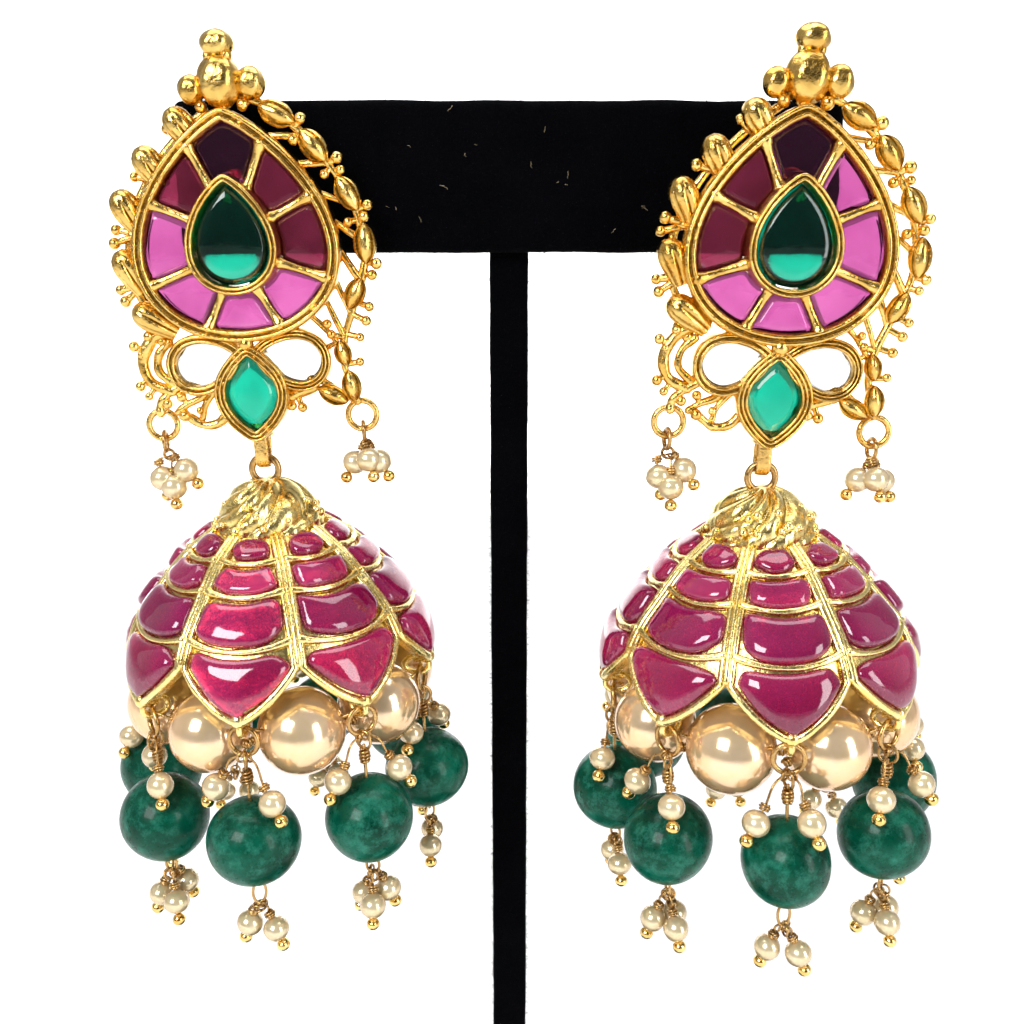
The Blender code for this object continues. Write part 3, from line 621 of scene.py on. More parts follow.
def add_leaf(piece, x, z, turn, length, width):
    """A pointed leaf with a raised edge and a swollen middle, in the stud's plane."""
    direction = np.array((math.cos(turn), 0.0, math.sin(turn)))
    across = np.cross(direction, (0, 1, 0))
    front = np.array((0.0, -1.0, 0.0))
    steps = 17
    t = np.linspace(-1, 1, steps)
    half = width / 2 * (1 - np.abs(t) ** 2.3) ** 0.8 + 0.1
    section = [(-1.0, 0.0), (-0.98, 0.45), (-0.82, 0.62), (-0.66, 0.45), (-0.35, 0.85), (0.0, 1.0)]
    section += [(-a, b) for a, b in reversed(section[:-1])] + [(0.6, -0.4), (0.0, -0.5), (-0.6, -0.4)]
    rings = []
    for k in range(steps):
        middle = at(x, z, 1.15) + direction * t[k] * length / 2
        rise = 0.95 * (1 - 0.55 * t[k] ** 2)
        rings.append([middle + across * half[k] * a + front * rise * b for a, b in section])
    piece.skin(rings, close_start=True, close_end=True)


def granule(piece, place, radius):
    ball(piece, place, radius * rng.uniform(0.88, 1.1), 16, 10)


def add_tied_granules(piece, paths, granules):
    """Granules that each stand on a short stub from the nearest point of the paths."""
    points = np.vstack(paths)
    for x, z, radius in granules:
        place = at(x, z, 1.1)
        near = points[np.argmin(np.linalg.norm(points - place, axis=1))]
        tube(piece, [near, place], radius * 0.62, 8)
        granule(piece, place, radius)


def wreath_at(degrees, side, outward=0.0, front=0.5):
    size = grown(plaque_size, 2 * (wreath_offset + outward))
    flat = teardrop_at(np.array([math.radians(degrees)]), size)[0]
    return at(side * flat[0], flat[1] + plaque_centre, front)


def add_twig(piece, degrees):
    """A pair of short stems from the left of the rim that end in granules."""
    radius = 0.36
    start = wreath_at(degrees, -1, -wreath_offset - 0.3)
    for shift in (-2.75, 2.75):
        end = wreath_at(degrees + shift, -1, 0.95)
        middle = (start + end) / 2 + np.array((0, -0.25, 0))
        tube(piece, smooth_path([start, middle, end], 5), radius, 9, rough=0.12)
        granule(piece, end + np.array((0, -0.1, 0)), radius * 1.5)


def add_plaque(piece):
    rim_inner = teardrop(grown(plaque_size, -2 * rim_width), plaque_centre, 240)
    band(piece, rim_inner, rolled(rim_width, plaque_back, plaque_front, 2, 0.42), waver=0.025)
    inner = teardrop(grown(emerald_size, 0.3), emerald_centre, 180)
    band(piece, inner, rolled(0.75, plaque_back, emerald_front, 2, 0.3), waver=0.02)
    for side in (-1, 1):
        for degrees in divider_angles:
            angle = np.array([math.radians(degrees)])
            start = teardrop_at(angle, grown(emerald_size, 1.2))[0] + (0, emerald_centre)
            end = teardrop_at(angle, grown(plaque_size, -2.2))[0] + (0, plaque_centre)
            ts = np.linspace(0, 1, 15)
            path = [at(side * (start[0] + (end[0] - start[0]) * t), start[1] + (end[1] - start[1]) * t,
                       plaque_front - 0.62 - 0.12 * math.sin(math.pi * t)) for t in ts]
            radii = 0.40 + 0.28 * np.abs(2 * ts - 1) ** 3
            tube(piece, path, radii, 12, up=(0, -1, 0), flat=0.9, rough=0.08)
            deep = [p + np.array((0, 0.95, 0)) for p in path]
            tube(piece, deep, 0.34, 10, up=(0, -1, 0), flat=2.2)


def add_lower_settings(piece):
    for side in (-1, 1):
        outline = side_drop(grown(clear_size, 0.3), side, 120)
        band(piece, outline, rolled(0.95, lower_back, lower_front, 3 if side > 0 else 2, 0.36), waver=0.02)
    outline = soften(lens(grown(marquise_size, 0.4), marquise_centre), 144, 3, 1)
    band(piece, outline, rolled(1.15, lower_back, lower_front + 0.15, 3, 0.34), waver=0.02)
    granule(piece, at(0, plaque_centre - plaque_size[1] / 2 - 0.1, lower_front - 0.3), 0.75)


def add_top_beads(piece):
    def lumpy(angles, height):
        return 1 + 0.03 * np.sin(3 * angles + 2 * height) + 0.035 * np.cos(6 * angles - 2 * height)
    for x, z, radius, tall in (
            (0, 34.45, 1.98, 1.2), (0.1, 37.6, 1.5, 0.86), (-2.65, 33.9, 1.2, 1.12), (2.75, 34.2, 1.3, 1.15)):
        ball(piece, at(x, z, 1.0), radius, 40, 26, (1.0, 0.97, tall), (0, 0, 1), lumpy)
    for x, z in ((-0.7, 36.6), (0.8, 36.6), (-1.9, 32.4), (1.9, 32.4), (0, 32.0)):
        granule(piece, at(x, z, 1.2), 0.6)


def add_left_wreath(piece):
    route = [wreath_at(d, -1, -0.35, 0.3) for d in (24, 40, 60, 80, 100, 120, 138)]
    tube(piece, smooth_path(route, 8), 0.4, 10, rough=0.15)
    for centre, tail in (
            ((-4.0, 31.0), (-3.1, 29.6)), ((-7.25, 27.8), (-6.3, 26.0)), ((-9.85, 24.1), (-9.0, 22.1)),
            ((-10.4, 18.8), (-9.5, 16.8)), ((-9.0, 14.1), (-7.0, 12.7))):
        add_bud(piece, centre, tail)
    for degrees in (42, 64, 91, 116.5, 140):
        add_twig(piece, degrees)
        granule(piece, wreath_at(degrees, -1, -0.9, 1.1), 0.5)


def add_right_wreath(piece):
    spots = ((1.2, 33.0), (3.2, 32.6), (4.8, 31.4), (6.3, 30.3), (7.6, 28.9), (9.0, 27.0), (10.3, 24.9),
             (11.2, 22.4), (11.6, 20.0), (11.5, 17.8), (10.8, 15.6), (9.9, 13.4), (9.1, 11.2), (8.8, 9.0),
             (9.2, 7.0), (9.8, 5.1))
    route = smooth_path([at(x, z, 0.7) for x, z in spots], 6)
    tube(piece, route, 0.38, 9, rough=0.2)
    for x, z, degrees, length, width in (
            (4.8, 31.5, -27, 3.5, 2.1), (7.85, 28.6, -54, 3.5, 2.1), (10.6, 24.3, -62, 3.5, 2.0),
            (11.8, 19.8, -90, 3.7, 1.95), (10.5, 15.3, -116, 3.1, 1.8), (8.9, 9.8, -78, 2.5, 1.5),
            (9.45, 6.7, -82, 3.0, 1.7)):
        add_leaf(piece, x, z, math.radians(degrees), length, width)
    add_tied_granules(piece, [route], (
        (6.9, 31.0, 0.6), (6.1, 29.2, 0.5), (9.9, 27.5, 0.6), (10.1, 26.4, 0.5), (8.6, 26.1, 0.5),
        (12.3, 23.2, 0.55), (11.9, 22.2, 0.5), (10.4, 21.8, 0.5), (12.7, 17.9, 0.55), (12.2, 16.9, 0.5),
        (11.7, 14.0, 0.5), (11.3, 12.7, 0.5), (10.6, 11.2, 0.5), (10.4, 8.9, 0.5), (7.9, 11.6, 0.5)))
    for degrees, point in ((38, 22), (58, 30), (74, 40), (88, 48), (104, 58), (122, 66), (134, 72)):
        start, end = wreath_at(degrees, 1, -wreath_offset - 0.3), route[point]
        tube(piece, smooth_path([start, (start + end) / 2 + (0, -0.2, 0), end], 4), 0.34, 8, rough=0.2)


def add_curls(piece, curls, sides):
    paths = []
    for points, radius in curls:
        path = smooth_path([at(x, z, 0.8) for x, z in points], 7)
        tube(piece, path, radius, sides, rough=0.15)
        paths.append(path)
    return paths


def add_left_scroll(piece):
    curls = (
        ([(-7.2, 12.8), (-9.1, 12.0), (-10.3, 10.0), (-9.8, 7.9), (-7.9, 6.9)], 0.56),
        ([(-7.6, 11.6), (-8.7, 10.5), (-8.9, 8.9), (-7.6, 7.6)], 0.42),
        ([(-6.8, 7.6), (-8.3, 6.7), (-9.2, 5.7), (-9.3, 4.9)], 0.46),
        ([(-4.3, 7.2), (-5.2, 6.2), (-6.6, 5.6), (-7.6, 4.9)], 0.38),
        ([(-2.6, 4.9), (-3.7, 3.7), (-5.2, 3.5), (-6.6, 4.4)], 0.46),
        ([(-3.0, 7.6), (-4.8, 5.6), (-5.3, 4.2)], 0.32),
    )
    paths = add_curls(piece, curls, 10)
    add_tied_granules(piece, paths, (
        (-10.9, 11.4, 0.5), (-10.8, 7.6, 0.5), (-10.1, 6.6, 0.45), (-6.9, 4.6, 0.6), (-8.4, 5.8, 0.5),
        (-10.3, 10.6, 0.42), (-7.0, 6.4, 0.5), (-9.4, 12.3, 0.5), (-5.4, 5.0, 0.4)))


def add_right_scroll(piece):
    curls = (
        ([(5.6, 6.9), (6.6, 7.2), (8.0, 6.2), (9.7, 5.3)], 0.40),
        ([(2.4, 5.4), (4.0, 6.1), (5.8, 6.7)], 0.55),
        ([(5.9, 13.6), (7.2, 12.3), (8.3, 10.8), (8.7, 9.4)], 0.30),
    )
    paths = add_curls(piece, curls, 9)
    add_leaf(piece, 7.6, 5.9, -0.5, 3.1, 1.7)
    add_tied_granules(piece, paths, (
        (3.5, 5.0, 0.5), (4.5, 4.8, 0.5), (5.6, 7.6, 0.42), (7.6, 12.6, 0.45), (7.4, 10.4, 0.42)))


def add_strap(piece):
    """The bent strip that holds the dome's eye, with a wrapped neck above it."""
    half_width, half_thickness = 0.68, 0.19
    path = [(-strap_bend, z) for z in (3.6, 2.6, 1.4, 0.3)]
    path += [(-strap_bend * math.cos(a), -strap_bend * math.sin(a)) for a in np.radians(range(20, 180, 20))]
    path += [(strap_bend, z) for z in (0.3, 1.4, 2.6)] + [(strap_bend * 0.8, 3.4)]
    path = np.array([(0, y, z) for y, z in path])
    along = unit(np.gradient(path, axis=0))
    angles = circle_angles(14)
    across = half_width * np.sign(np.cos(angles)) * np.abs(np.cos(angles)) ** 0.5
    rings = []
    for point, direction in zip(path, along):
        normal = np.cross(direction, (1, 0, 0)) * half_thickness
        rings.append([point + np.array((a, 0, 0)) + normal * s for a, s in zip(across, np.sin(angles))])
    piece.skin(rings, 1, close_start=True, close_end=True)
    for z in (2.2, 2.75):
        wrap = circle((0, 0, z), 1.0, (0, 0, 1), 28, 1.25, (0, 1, 0))
        tube(piece, wrap, half_thickness, 8, cyclic=True, up=(0, 0, 1), rough=0.1)


def build_stud(word, side):
    lean = Matrix.Rotation(side * math.radians(stud_lean), 4, "Y")
    matrix = Matrix.Translation(Vector(hinges[word]) * mm) @ lean
    piece = Piece(word + "_cast_stud", [gold, strap_gold])
    add_plaque(piece)
    add_lower_settings(piece)
    add_top_beads(piece)
    add_left_wreath(piece)
    add_right_wreath(piece)
    add_left_scroll(piece)
    add_right_scroll(piece)
    add_strap(piece)
    for x in ring_places.values():
        ring(piece, at(x, ring_height, 0.5), side_ring_radius, side_ring_wire, (0, 1, 0), 48, 12, slot=1)
    piece.build("stand", matrix, [word + "_stud_frame"], 50)

    edges = [math.radians(a) for a in divider_angles]
    edges = [-a for a in reversed(edges)] + edges
    edges.append(edges[0] + tau)
    for number in range(8):
        piece = Piece("%s_plaque_stone_%d" % (word, number + 1),
                      [deep_ruby if number in deep_stones[word] else stud_ruby])
        gem(piece, cell_outline(edges[number], edges[number + 1]), front=2.2 + rng.uniform(-0.08, 0.08),
            thickness=1.6, crown=0.5, bevel=0.42, dome=0.03, tilt=rng.uniform(-0.03, 0.03))
        piece.build("stand", matrix, ["%s_plaque_ruby_%d" % (word, number + 1)], 28)
    piece = Piece(word + "_pear_emerald", [emerald])
    gem(piece, teardrop(emerald_size, emerald_centre, 120), front=3.85, thickness=2.4, crown=0.45, bevel=0.45,
        dome=0.16)
    piece.build("stand", matrix, [word + "_centre_emerald"], 30)
    piece = Piece(word + "_marquise_stone", [emerald])
    outline = soften(lens((marquise_size[0] + 0.4, marquise_size[1] + 0.5), marquise_centre), 120, 3, 1)
    gem(piece, outline, front=2.0, thickness=1.6, crown=0.45, bevel=0.6, dome=0.1)
    piece.build("stand", matrix, [word + "_marquise_emerald"], 22)
    for where, sign in side_signs.items():
        piece = Piece("%s_clear_stone_%s" % (word, where), [clear])
        outline = side_drop(grown(clear_size, 0.3), sign, 96)
        gem(piece, outline, front=2.0, thickness=1.5, crown=0.5, bevel=0.55, dome=0.15)
        piece.build("stand", matrix, ["%s_clear_drop_%s" % (word, where)], 22)
    build_side_chains(word, matrix)
    build_post(word, matrix)


def add_seed(piece, place, direction, radius, ball_radius):
    """A seed pearl with a gold ball below it on a wire, and the place where its wire ends above it."""
    place = np.asarray(place, float)
    direction = unit(np.asarray(direction, float))
    squash = (rng.uniform(0.96, 1.03), rng.uniform(0.96, 1.03), rng.uniform(0.92, 1.0))
    ball(piece, place, radius, 24, 16, squash, direction)
    end = place + direction * (radius + ball_radius * 0.75)
    ball(piece, end, ball_radius, 18, 12, (1, 1, 0.92), direction, slot=1)
    wrap_start = place - direction * (radius + 0.05)
    add_coil(piece, wrap_start, -direction, 0.42, 0.6, 2.6, hook_wire, slot=2)
    tube(piece, [wrap_start, place + direction * (radius + ball_radius)], seed_wire, 6, slot=2)
    return wrap_start - direction * 0.6


def add_coil(piece, start, direction, radius, length, turns, wire, slot):
    basis = direction_matrix(direction)
    t = np.linspace(0, 1, int(turns * 11) + 1)
    a = t * turns * tau
    swell = radius * (0.75 + 0.35 * np.sin(math.pi * t))
    points = np.stack([np.cos(a) * swell, np.sin(a) * swell, t * length], -1) @ basis.T
    tube(piece, points + np.asarray(start, float), wire, 6, slot=slot)


def build_side_chains(word, matrix):
    """The link in each side ring, and the seed pearls that hang from it."""
    hangs = {
        "left": (((-9.85, -1.5), (-10.2, 0.4)), ((-8.75, -2.3), (-8.9, 0.4)), ((-7.5, -0.8), (-8.6, 0.6))),
        "right": (((9.0, -0.9), (9.9, 0.5)), ((10.5, -0.6), (10.2, 0.6)), ((11.4, -0.9), (10.6, 0.5))),
    }
    for where, x in ring_places.items():
        piece = Piece("%s_side_chain_%s" % (word, where), [seed, ball_gold, wire_gold])
        link = at(x, 2.07, 0.5)
        ring(piece, link, side_link_radius, side_link_wire, (1, 0.15, 0), 36, 10, slot=2)
        ring(piece, link + (0.2, 0, -1.35), 0.55, 0.16, (0.2, 1, 0.2), 24, 8, slot=2)
        for number, ((px, pz), (qx, qz)) in enumerate(hangs[where]):
            place = at(px, pz, 0.9 + 0.7 * (number % 2) + rng.uniform(-0.2, 0.2))
            away = place - at(qx, qz, 0.5)
            away[1] *= 0.5
            top = add_seed(piece, place, away, *side_seed)
            anchor = link + (0.2, 0, -1.5)
            bend = (top + anchor) / 2 + (0.15, -0.2, 0.1)
            tube(piece, smooth_path([top, bend, anchor], 5), hook_wire, 6, slot=2)
        piece.build("stand", matrix, ["%s_side_link_%s" % (word, where)], 0)


def build_post(word, matrix):
    """The hidden plate and pin behind the plaque, and the knurled nut behind the bar."""
    start, plate, pin = 0.9, 1.7, 0.5
    bar_back = 1.9 - hinges[word][1] + bar_depth
    nut = bar_back + nut_room
    flutes, flute_depth = 40, 0.10
    turn = np.array(Matrix.Rotation(math.radians(-90), 3, "X"))
    centre = (0, 0, post_height)
    piece = Piece(word + "_post_and_nut", [gold])
    rows = ((1.4, 0.0, 0), (plate, 0.2, 0), (plate, 0.5, 0), (1.4, 0.7, 0), (0.75, 0.7, 0), (pin, 0.9, 0),
            (pin, nut + 0.2 - start, 0))
    lathe(piece, rows, 48, centre, turn, start)
    rows = ((0.6, 0.0, 0), (2.6, 0.0, 0), (3.0, 0.35, 1), (3.0, 2.4, 1), (2.7, 2.7, 0), (1.6, 2.8, 0),
            (1.3, 3.0, 0), (pin, 3.0, 0))
    lathe(piece, rows, flutes * 4, centre, turn, nut, flutes, flute_depth)
    piece.build("stand", matrix, [word + "_ear_post"], 35)


# Dome

profile_steps = np.linspace(0, 1, 401)
profile_path = smooth_path(dome_profile, 24)
profile_radii = np.interp(profile_steps, profile_path[:, 0], profile_path[:, 1]) * dome_radius
profile_slopes = np.gradient(profile_radii, profile_steps)


def on_dome(angle, share, relief):
    """A point over the dome: angle round it, share of its height, distance out from its surface."""
    angle, share, relief = np.broadcast_arrays(*(np.asarray(v, float) for v in (angle, share, relief)))
    radius = np.interp(share, profile_steps, profile_radii)
    slope = np.interp(share, profile_steps, profile_slopes)
    length = np.hypot(dome_height, slope)
    radius = radius + relief * dome_height / length
    z = -(dome_top + dome_height * share) + relief * slope / length
    return np.stack([np.sin(angle) * radius, -np.cos(angle) * radius, z], -1)


def half_petal(share):
    """Half a petal's width in millimetres at a share of the height."""
    return np.interp(share, profile_steps, profile_radii) * math.pi / petal_count


def edge_share(across):
    return valley_share + (1 - valley_share) * (1 - np.abs(across) ** petal_power)


def across_limit(share):
    """How far across the petal reaches below the valley, as a share of its half angle."""
    low = np.clip((np.asarray(share, float) - valley_share) / (1 - valley_share), 0, 1)
    return (1 - low) ** (1 / petal_power)


def add_shell(piece):
    columns, rows = 160, 46
    angles = circle_angles(columns)
    petal_angle = tau / petal_count
    across = (((angles / petal_angle + 0.5) % 1) - 0.5) * 2
    reach = edge_share(across)
    rings = [on_dome(angles, reach * t, 0.0) for t in np.linspace(0.0, 1, rows)]
    rings += [on_dome(angles, reach * t, -dome_wall) for t in np.linspace(1, 0.0, 16)]
    piece.skin(rings, wrap=True)


def add_petal_lines(piece, middle):
    """The rolled edge of one petal, its cross bars and the ridge beside it."""
    half = math.pi / petal_count
    for side in (-1, 1):
        shares = np.linspace(0.02, valley_share - 0.02, 26)
        near = 1 - 0.44 / half_petal(shares)
        left = on_dome(middle + side * near * half, shares, 0.24)
        a = np.linspace(0.93, 0.0, 18)
        right = on_dome(middle + side * a * half, edge_share(a) - 0.018, 0.22)
        path = np.vstack([left, right])
        radii = np.concatenate([np.linspace(0.33, 0.36, len(left)), np.linspace(0.38, 0.46, len(right))])
        tube(piece, path, radii, 9, rough=0.12)
    ridge_shares = np.linspace(0.01, valley_share - 0.01, 24)
    ridge = on_dome(middle + half, ridge_shares, 0.34)
    tube(piece, ridge, np.linspace(0.24, 0.36, 24), 9, rough=0.12)
    for low, sag in ((0.128, 0.022), (0.287, 0.034), (0.545, 0.055)):
        a = np.linspace(-1, 1, 27) * (1 - 0.5 / half_petal(low))
        share = low - sag * 0.35 + sag * (1 - a ** 2)
        tube(piece, on_dome(middle + a * half, share, 0.34), 0.33 + 0.14 * np.abs(a) ** 4, 9, rough=0.16)
    tip = on_dome(middle, 0.985, 0.1)
    end = around(middle, loop_circle, -loop_drop + 0.55)
    ball(piece, tip + (0, 0, 0.1), 0.75, 18, 12)
    tube(piece, [tip, (tip + end) / 2, end], (0.62, 0.5, 0.4), 10, rough=0.1)
    sideways = np.array((math.cos(middle), math.sin(middle), 0))
    loop = around(middle, loop_circle, -loop_drop)
    ring(piece, loop, 0.9, 0.3, sideways, 36, 10, 1.4, around(middle, 1, 0))


def stone_rings(middle, mid, half_high, sag, width_gap, corner, height, seed_number, tip=False):
    """Rings of a cabochon over the dome, from its foot to near its top."""
    base = 0.05
    theta = circle_angles(56)
    draw = np.random.default_rng(seed_number)
    wobble = 1 + 0.025 * sum(draw.normal() * np.cos(k * theta + draw.uniform(0, 6.3)) for k in (2, 3, 5))
    u = np.sign(np.cos(theta)) * np.abs(np.cos(theta)) ** (2 / corner) * wobble
    v = np.sign(np.sin(theta)) * np.abs(np.sin(theta)) ** (2 / corner) * wobble
    lean_u, lean_v = draw.normal(0, 0.10, 2)
    levels = ((1.0, -0.02), (1.0, 0.14), (0.985, 0.34), (0.95, 0.55), (0.89, 0.73), (0.79, 0.88),
              (0.64, 0.965), (0.45, 1.0), (0.25, 1.0), (0.1, 1.0))
    if tip:
        levels = ((1.0, -0.02), (1.0, 0.2), (0.97, 0.45), (0.9, 0.66), (0.76, 0.82), (0.58, 0.92),
                  (0.4, 0.97), (0.22, 1.0), (0.08, 1.0))
    half_angle = math.pi / petal_count
    rings = []
    for scale, rise in levels:
        us, vs = u * scale, v * scale
        share = mid + vs * half_high
        if tip:
            top = mid - half_high
            down = (share - top) / (2 * half_high)
            limit = across_limit(np.clip(share + 0.02, 0, 0.999))
            room = np.clip(limit - 0.5 / half_petal(np.minimum(share, 1)) - 0.02, 0.02, 1)
            share = share + sag * (1 - us ** 2) * (1 - np.clip(down, 0, 1))
            across = us * np.minimum(room, 1 - width_gap / half_petal(share))
        else:
            across = us * (1 - width_gap / half_petal(share))
            share = share + sag * (1 - us ** 2) - sag * 0.4
        relief = base + height * rise * (1 + lean_u * us + lean_v * vs)
        rings.append(on_dome(middle + across * half_angle, share, relief))
    return rings


def build_petal_stones(word, number, matrix, body):
    piece = Piece("%s_petal_rubies_%d" % (word, number + 1), [dome_ruby])
    key = number * 10 + (1000 if word == "right" else 0)
    # Each row's middle, half height, sag, side gap, squareness and rise
    rows = ((0.068, 0.052, 0.008, 0.84, 2.3, 0.85), (0.2175, 0.064, 0.024, 0.80, 4.0, 1.0),
            (0.424, 0.112, 0.042, 0.80, 4.0, 1.1), (0.755, 0.192, 0.044, 0.8, 3.6, 1.1))
    for place, row in enumerate(rows, 1):
        piece.skin(stone_rings(tau * number / petal_count, *row, key + place, tip=place == len(rows)),
                   close_start=True, close_end=True)
    piece.build(body, matrix, (), 0)


def add_cap(piece):
    """The cast cap with ribs that swirl round it, and its lumpy lower edge."""
    columns, rows = 224, 40
    angles = circle_angles(columns)
    ribs = 9
    outline = smooth_path(((0.85, -2.3), (1.9, -2.6), (3.1, -3.3), (4.1, -4.3), (4.75, -5.3), (5.1, -6.1),
                           (5.25, -6.8)), 8)
    t_all = np.linspace(0, 1, rows)
    spots = t_all * (len(outline) - 1)
    picks = np.stack([np.interp(spots, np.arange(len(outline)), outline[:, k]) for k in (0, 1)], -1)
    lumps = smooth_noise(columns, 3)
    rings = []
    for t, (radius, z) in zip(t_all, picks):
        swirl = angles * ribs / 2 + 7.2 * t + 0.6 * np.sin(angles * 3) + 0.4 * np.sin(angles * 2 + 3 * t)
        rib = np.abs(np.sin(swirl)) ** 0.85 - 0.55
        depth = 0.58 * math.sin(math.pi * min(t * 0.8 + 0.14, 1)) ** 0.6
        r = radius + depth * rib * 0.8 + 0.15 * lumps * t
        height = z + depth * rib * 0.7 - 0.25 * t ** 4 * np.abs(np.sin(swirl))
        rings.append(np.stack([np.sin(angles) * r, -np.cos(angles) * r, height], -1))
    foot = rings[-1].copy()
    rings.append(foot * np.array((0.985, 0.985, 1)) - np.array((0, 0, 0.35)))
    rings.append(foot * np.array((0.85, 0.85, 1)) - np.array((0, 0, 0.45)))
    piece.skin(rings, close_start=True, close_end=True)
    for _ in range(26):
        a = rng.uniform(0, tau)
        t = rng.uniform(0.45, 0.95)
        radius, z = picks[int(t * (rows - 1))]
        granule(piece, around(a, radius + 0.05, z + 0.15), rng.uniform(0.28, 0.5))


def build_dome(word, matrix, body):
    piece = Piece(word + "_dome_gold", [dome_gold, wire_gold])
    add_shell(piece)
    for number in range(petal_count):
        add_petal_lines(piece, tau * number / petal_count)
    add_cap(piece)
    ring(piece, (0, 0, -eye_radius), eye_radius, eye_wire, (0, 1, 0), 48, 12, slot=1)
    piece.build(body, matrix, [word + "_dome"], 60)
    for number in range(petal_count):
        build_petal_stones(word, number, matrix, body)


def build_pearls(word, matrix, body):
    piece = Piece(word + "_pearl_string", [pearl, wire_gold])
    half = math.pi / petal_count
    route = []
    for number in range(petal_count):
        a = tau * number / petal_count
        route.append(around(a, 14.5, -loop_drop - 0.2))
        b = a + half
        centre = around(b, pearl_circle, -pearl_drop)
        route.append(centre)
        along = np.array((math.cos(b), math.sin(b), rng.uniform(-0.2, 0.2)))
        radius = pearl_radius * rng.uniform(0.99, 1.05)
        ball(piece, centre, radius, 56, 36, (1, 1, rng.uniform(0.96, 1.0)), along)
        for sign in (-1, 1):
            outward = along * sign
            add_coil(piece, centre + outward * (radius + 0.02), outward, 0.35, 0.7, 2.5, 0.13, slot=1)
    tube(piece, smooth_path(route, 6, True), pearl_wire, 8, cyclic=True, slot=1)
    piece.build(body, matrix, [word + "_pearl_ring"], 0)


def build_drop(word, number, matrix, body):
    """A green bead below a petal's tip, with its rings, wraps and seed pearls."""
    turn = Matrix.Rotation(tau * number / petal_count, 4, "Z")
    piece = Piece("%s_bead_drop_%d" % (word, number + 1), [seed, ball_gold, wire_gold, jade])
    y = -jump_circle
    ring(piece, (0, y, -jump_drop), jump_radius, jump_wire, (0.12, 1, 0), 40, 10, slot=2)
    squash = (rng.uniform(0.95, 1.04), rng.uniform(0.95, 1.03), rng.uniform(0.96, 1.04))
    lean = (rng.uniform(-0.18, 0.18), rng.uniform(-0.18, 0.18), 1)
    bend = rng.uniform(0, 6.3)

    def uneven(angles, height):
        return 1 + 0.02 * np.cos(2 * angles + bend) + 0.015 * math.cos(3 * height + bend)
    ball(piece, (0, y, -bead_drop), bead_radius, 56, 36, squash, lean, uneven, slot=3)
    tube(piece, [(0, y, -jump_drop - 2.6), (0, y, -bead_drop - bead_radius - 0.5)], stem_wire, 8, slot=2)
    ring(piece, (0, y, -jump_drop - 2.0), 0.85, 0.15, (1, 0.3, 0), 26, 8, 1.1, (0, 0, 1), slot=2)
    add_coil(piece, (0, y, -jump_drop - 2.9), (0, 0, -1), 0.42, 1.5, 4.5, wrap_wire, slot=2)
    first = rng.uniform(-0.5, 0.5)
    for k, away in enumerate((first + 0.55, first + math.pi - 0.2)):
        reach = rng.uniform(2.9, 3.4)
        out = np.array((math.cos(away), -math.sin(away) * (1 if k == 0 else -1) * 0.9 - 0.25, 0.0))
        out = unit(out)
        place = np.array((0, y, -28.75 + rng.uniform(-0.3, 0.5))) + out * reach
        lean_down = out * 0.55 + np.array((0, 0, -0.85))
        top = add_seed(piece, place, lean_down, *upper_seed)
        hook = np.array((0.25 * (1 - 2 * k), y, -jump_drop - jump_radius - 0.1))
        arch = top * 0.45 + hook * 0.55 + out * 0.35 + (0, 0, 0.35)
        tube(piece, smooth_path([top, arch, hook], 6), bow_wire, 6, slot=2)
        ring(piece, hook + (0, 0, -0.15), 0.5, bow_wire, (0.6 - 1.2 * k, 0.8, 0.2), 20, 7, slot=2)
    foot = -bead_drop - bead_radius
    lower = 0.9 if number == 0 else 0.2
    ring(piece, (0, y, foot - 0.85 - lower / 2), 0.62, wrap_wire, (rng.uniform(-1, 1), 1, 0), 24, 7,
         1.2 + lower * 0.7, (0, 0, 1), slot=2)
    count = 3 if number % 3 == 1 else 2
    spin = rng.uniform(-0.5, 0.5)
    for k in range(count):
        away = spin + k * tau / count
        out = np.array((math.cos(away), math.sin(away), 0.0))
        drop = foot - lower_seed_drop - lower + rng.uniform(-0.7, 0.4)
        place = np.array((0, y, drop)) + out * lower_seed_circle
        top = add_seed(piece, place, out * 0.35 + np.array((0, 0, -0.93)), *lower_seed)
        hook = np.array((0, y, foot - 1.3 - lower))
        tube(piece, smooth_path([top, (top + hook) / 2 + out * 0.35, hook], 5), hook_wire, 6, slot=2)
    for _ in range(4):
        tilt = (rng.uniform(-1, 1), rng.uniform(-1, 1), rng.uniform(-0.5, 0.5))
        knot = np.array((0, y, foot - 1.7 - lower)) + [rng.uniform(-0.3, 0.3) for _ in range(3)]
        ring(piece, knot, 0.52, hook_wire, tilt, 20, 6, slot=2)
    piece.build(body, matrix @ turn, ["%s_green_drop_%d" % (word, number + 1)], 0)


def build_jhumka(word):
    body = "jhumka_" + word
    lean = Euler((0, -math.radians(dome_lean), math.radians(dome_turn[word]))).to_matrix().to_4x4()
    matrix = Matrix.Translation(Vector(hinges[word]) * mm) @ lean
    build_dome(word, matrix, body)
    build_pearls(word, matrix, body)
    for number in range(petal_count):
        build_drop(word, number, matrix, body)


# Stand

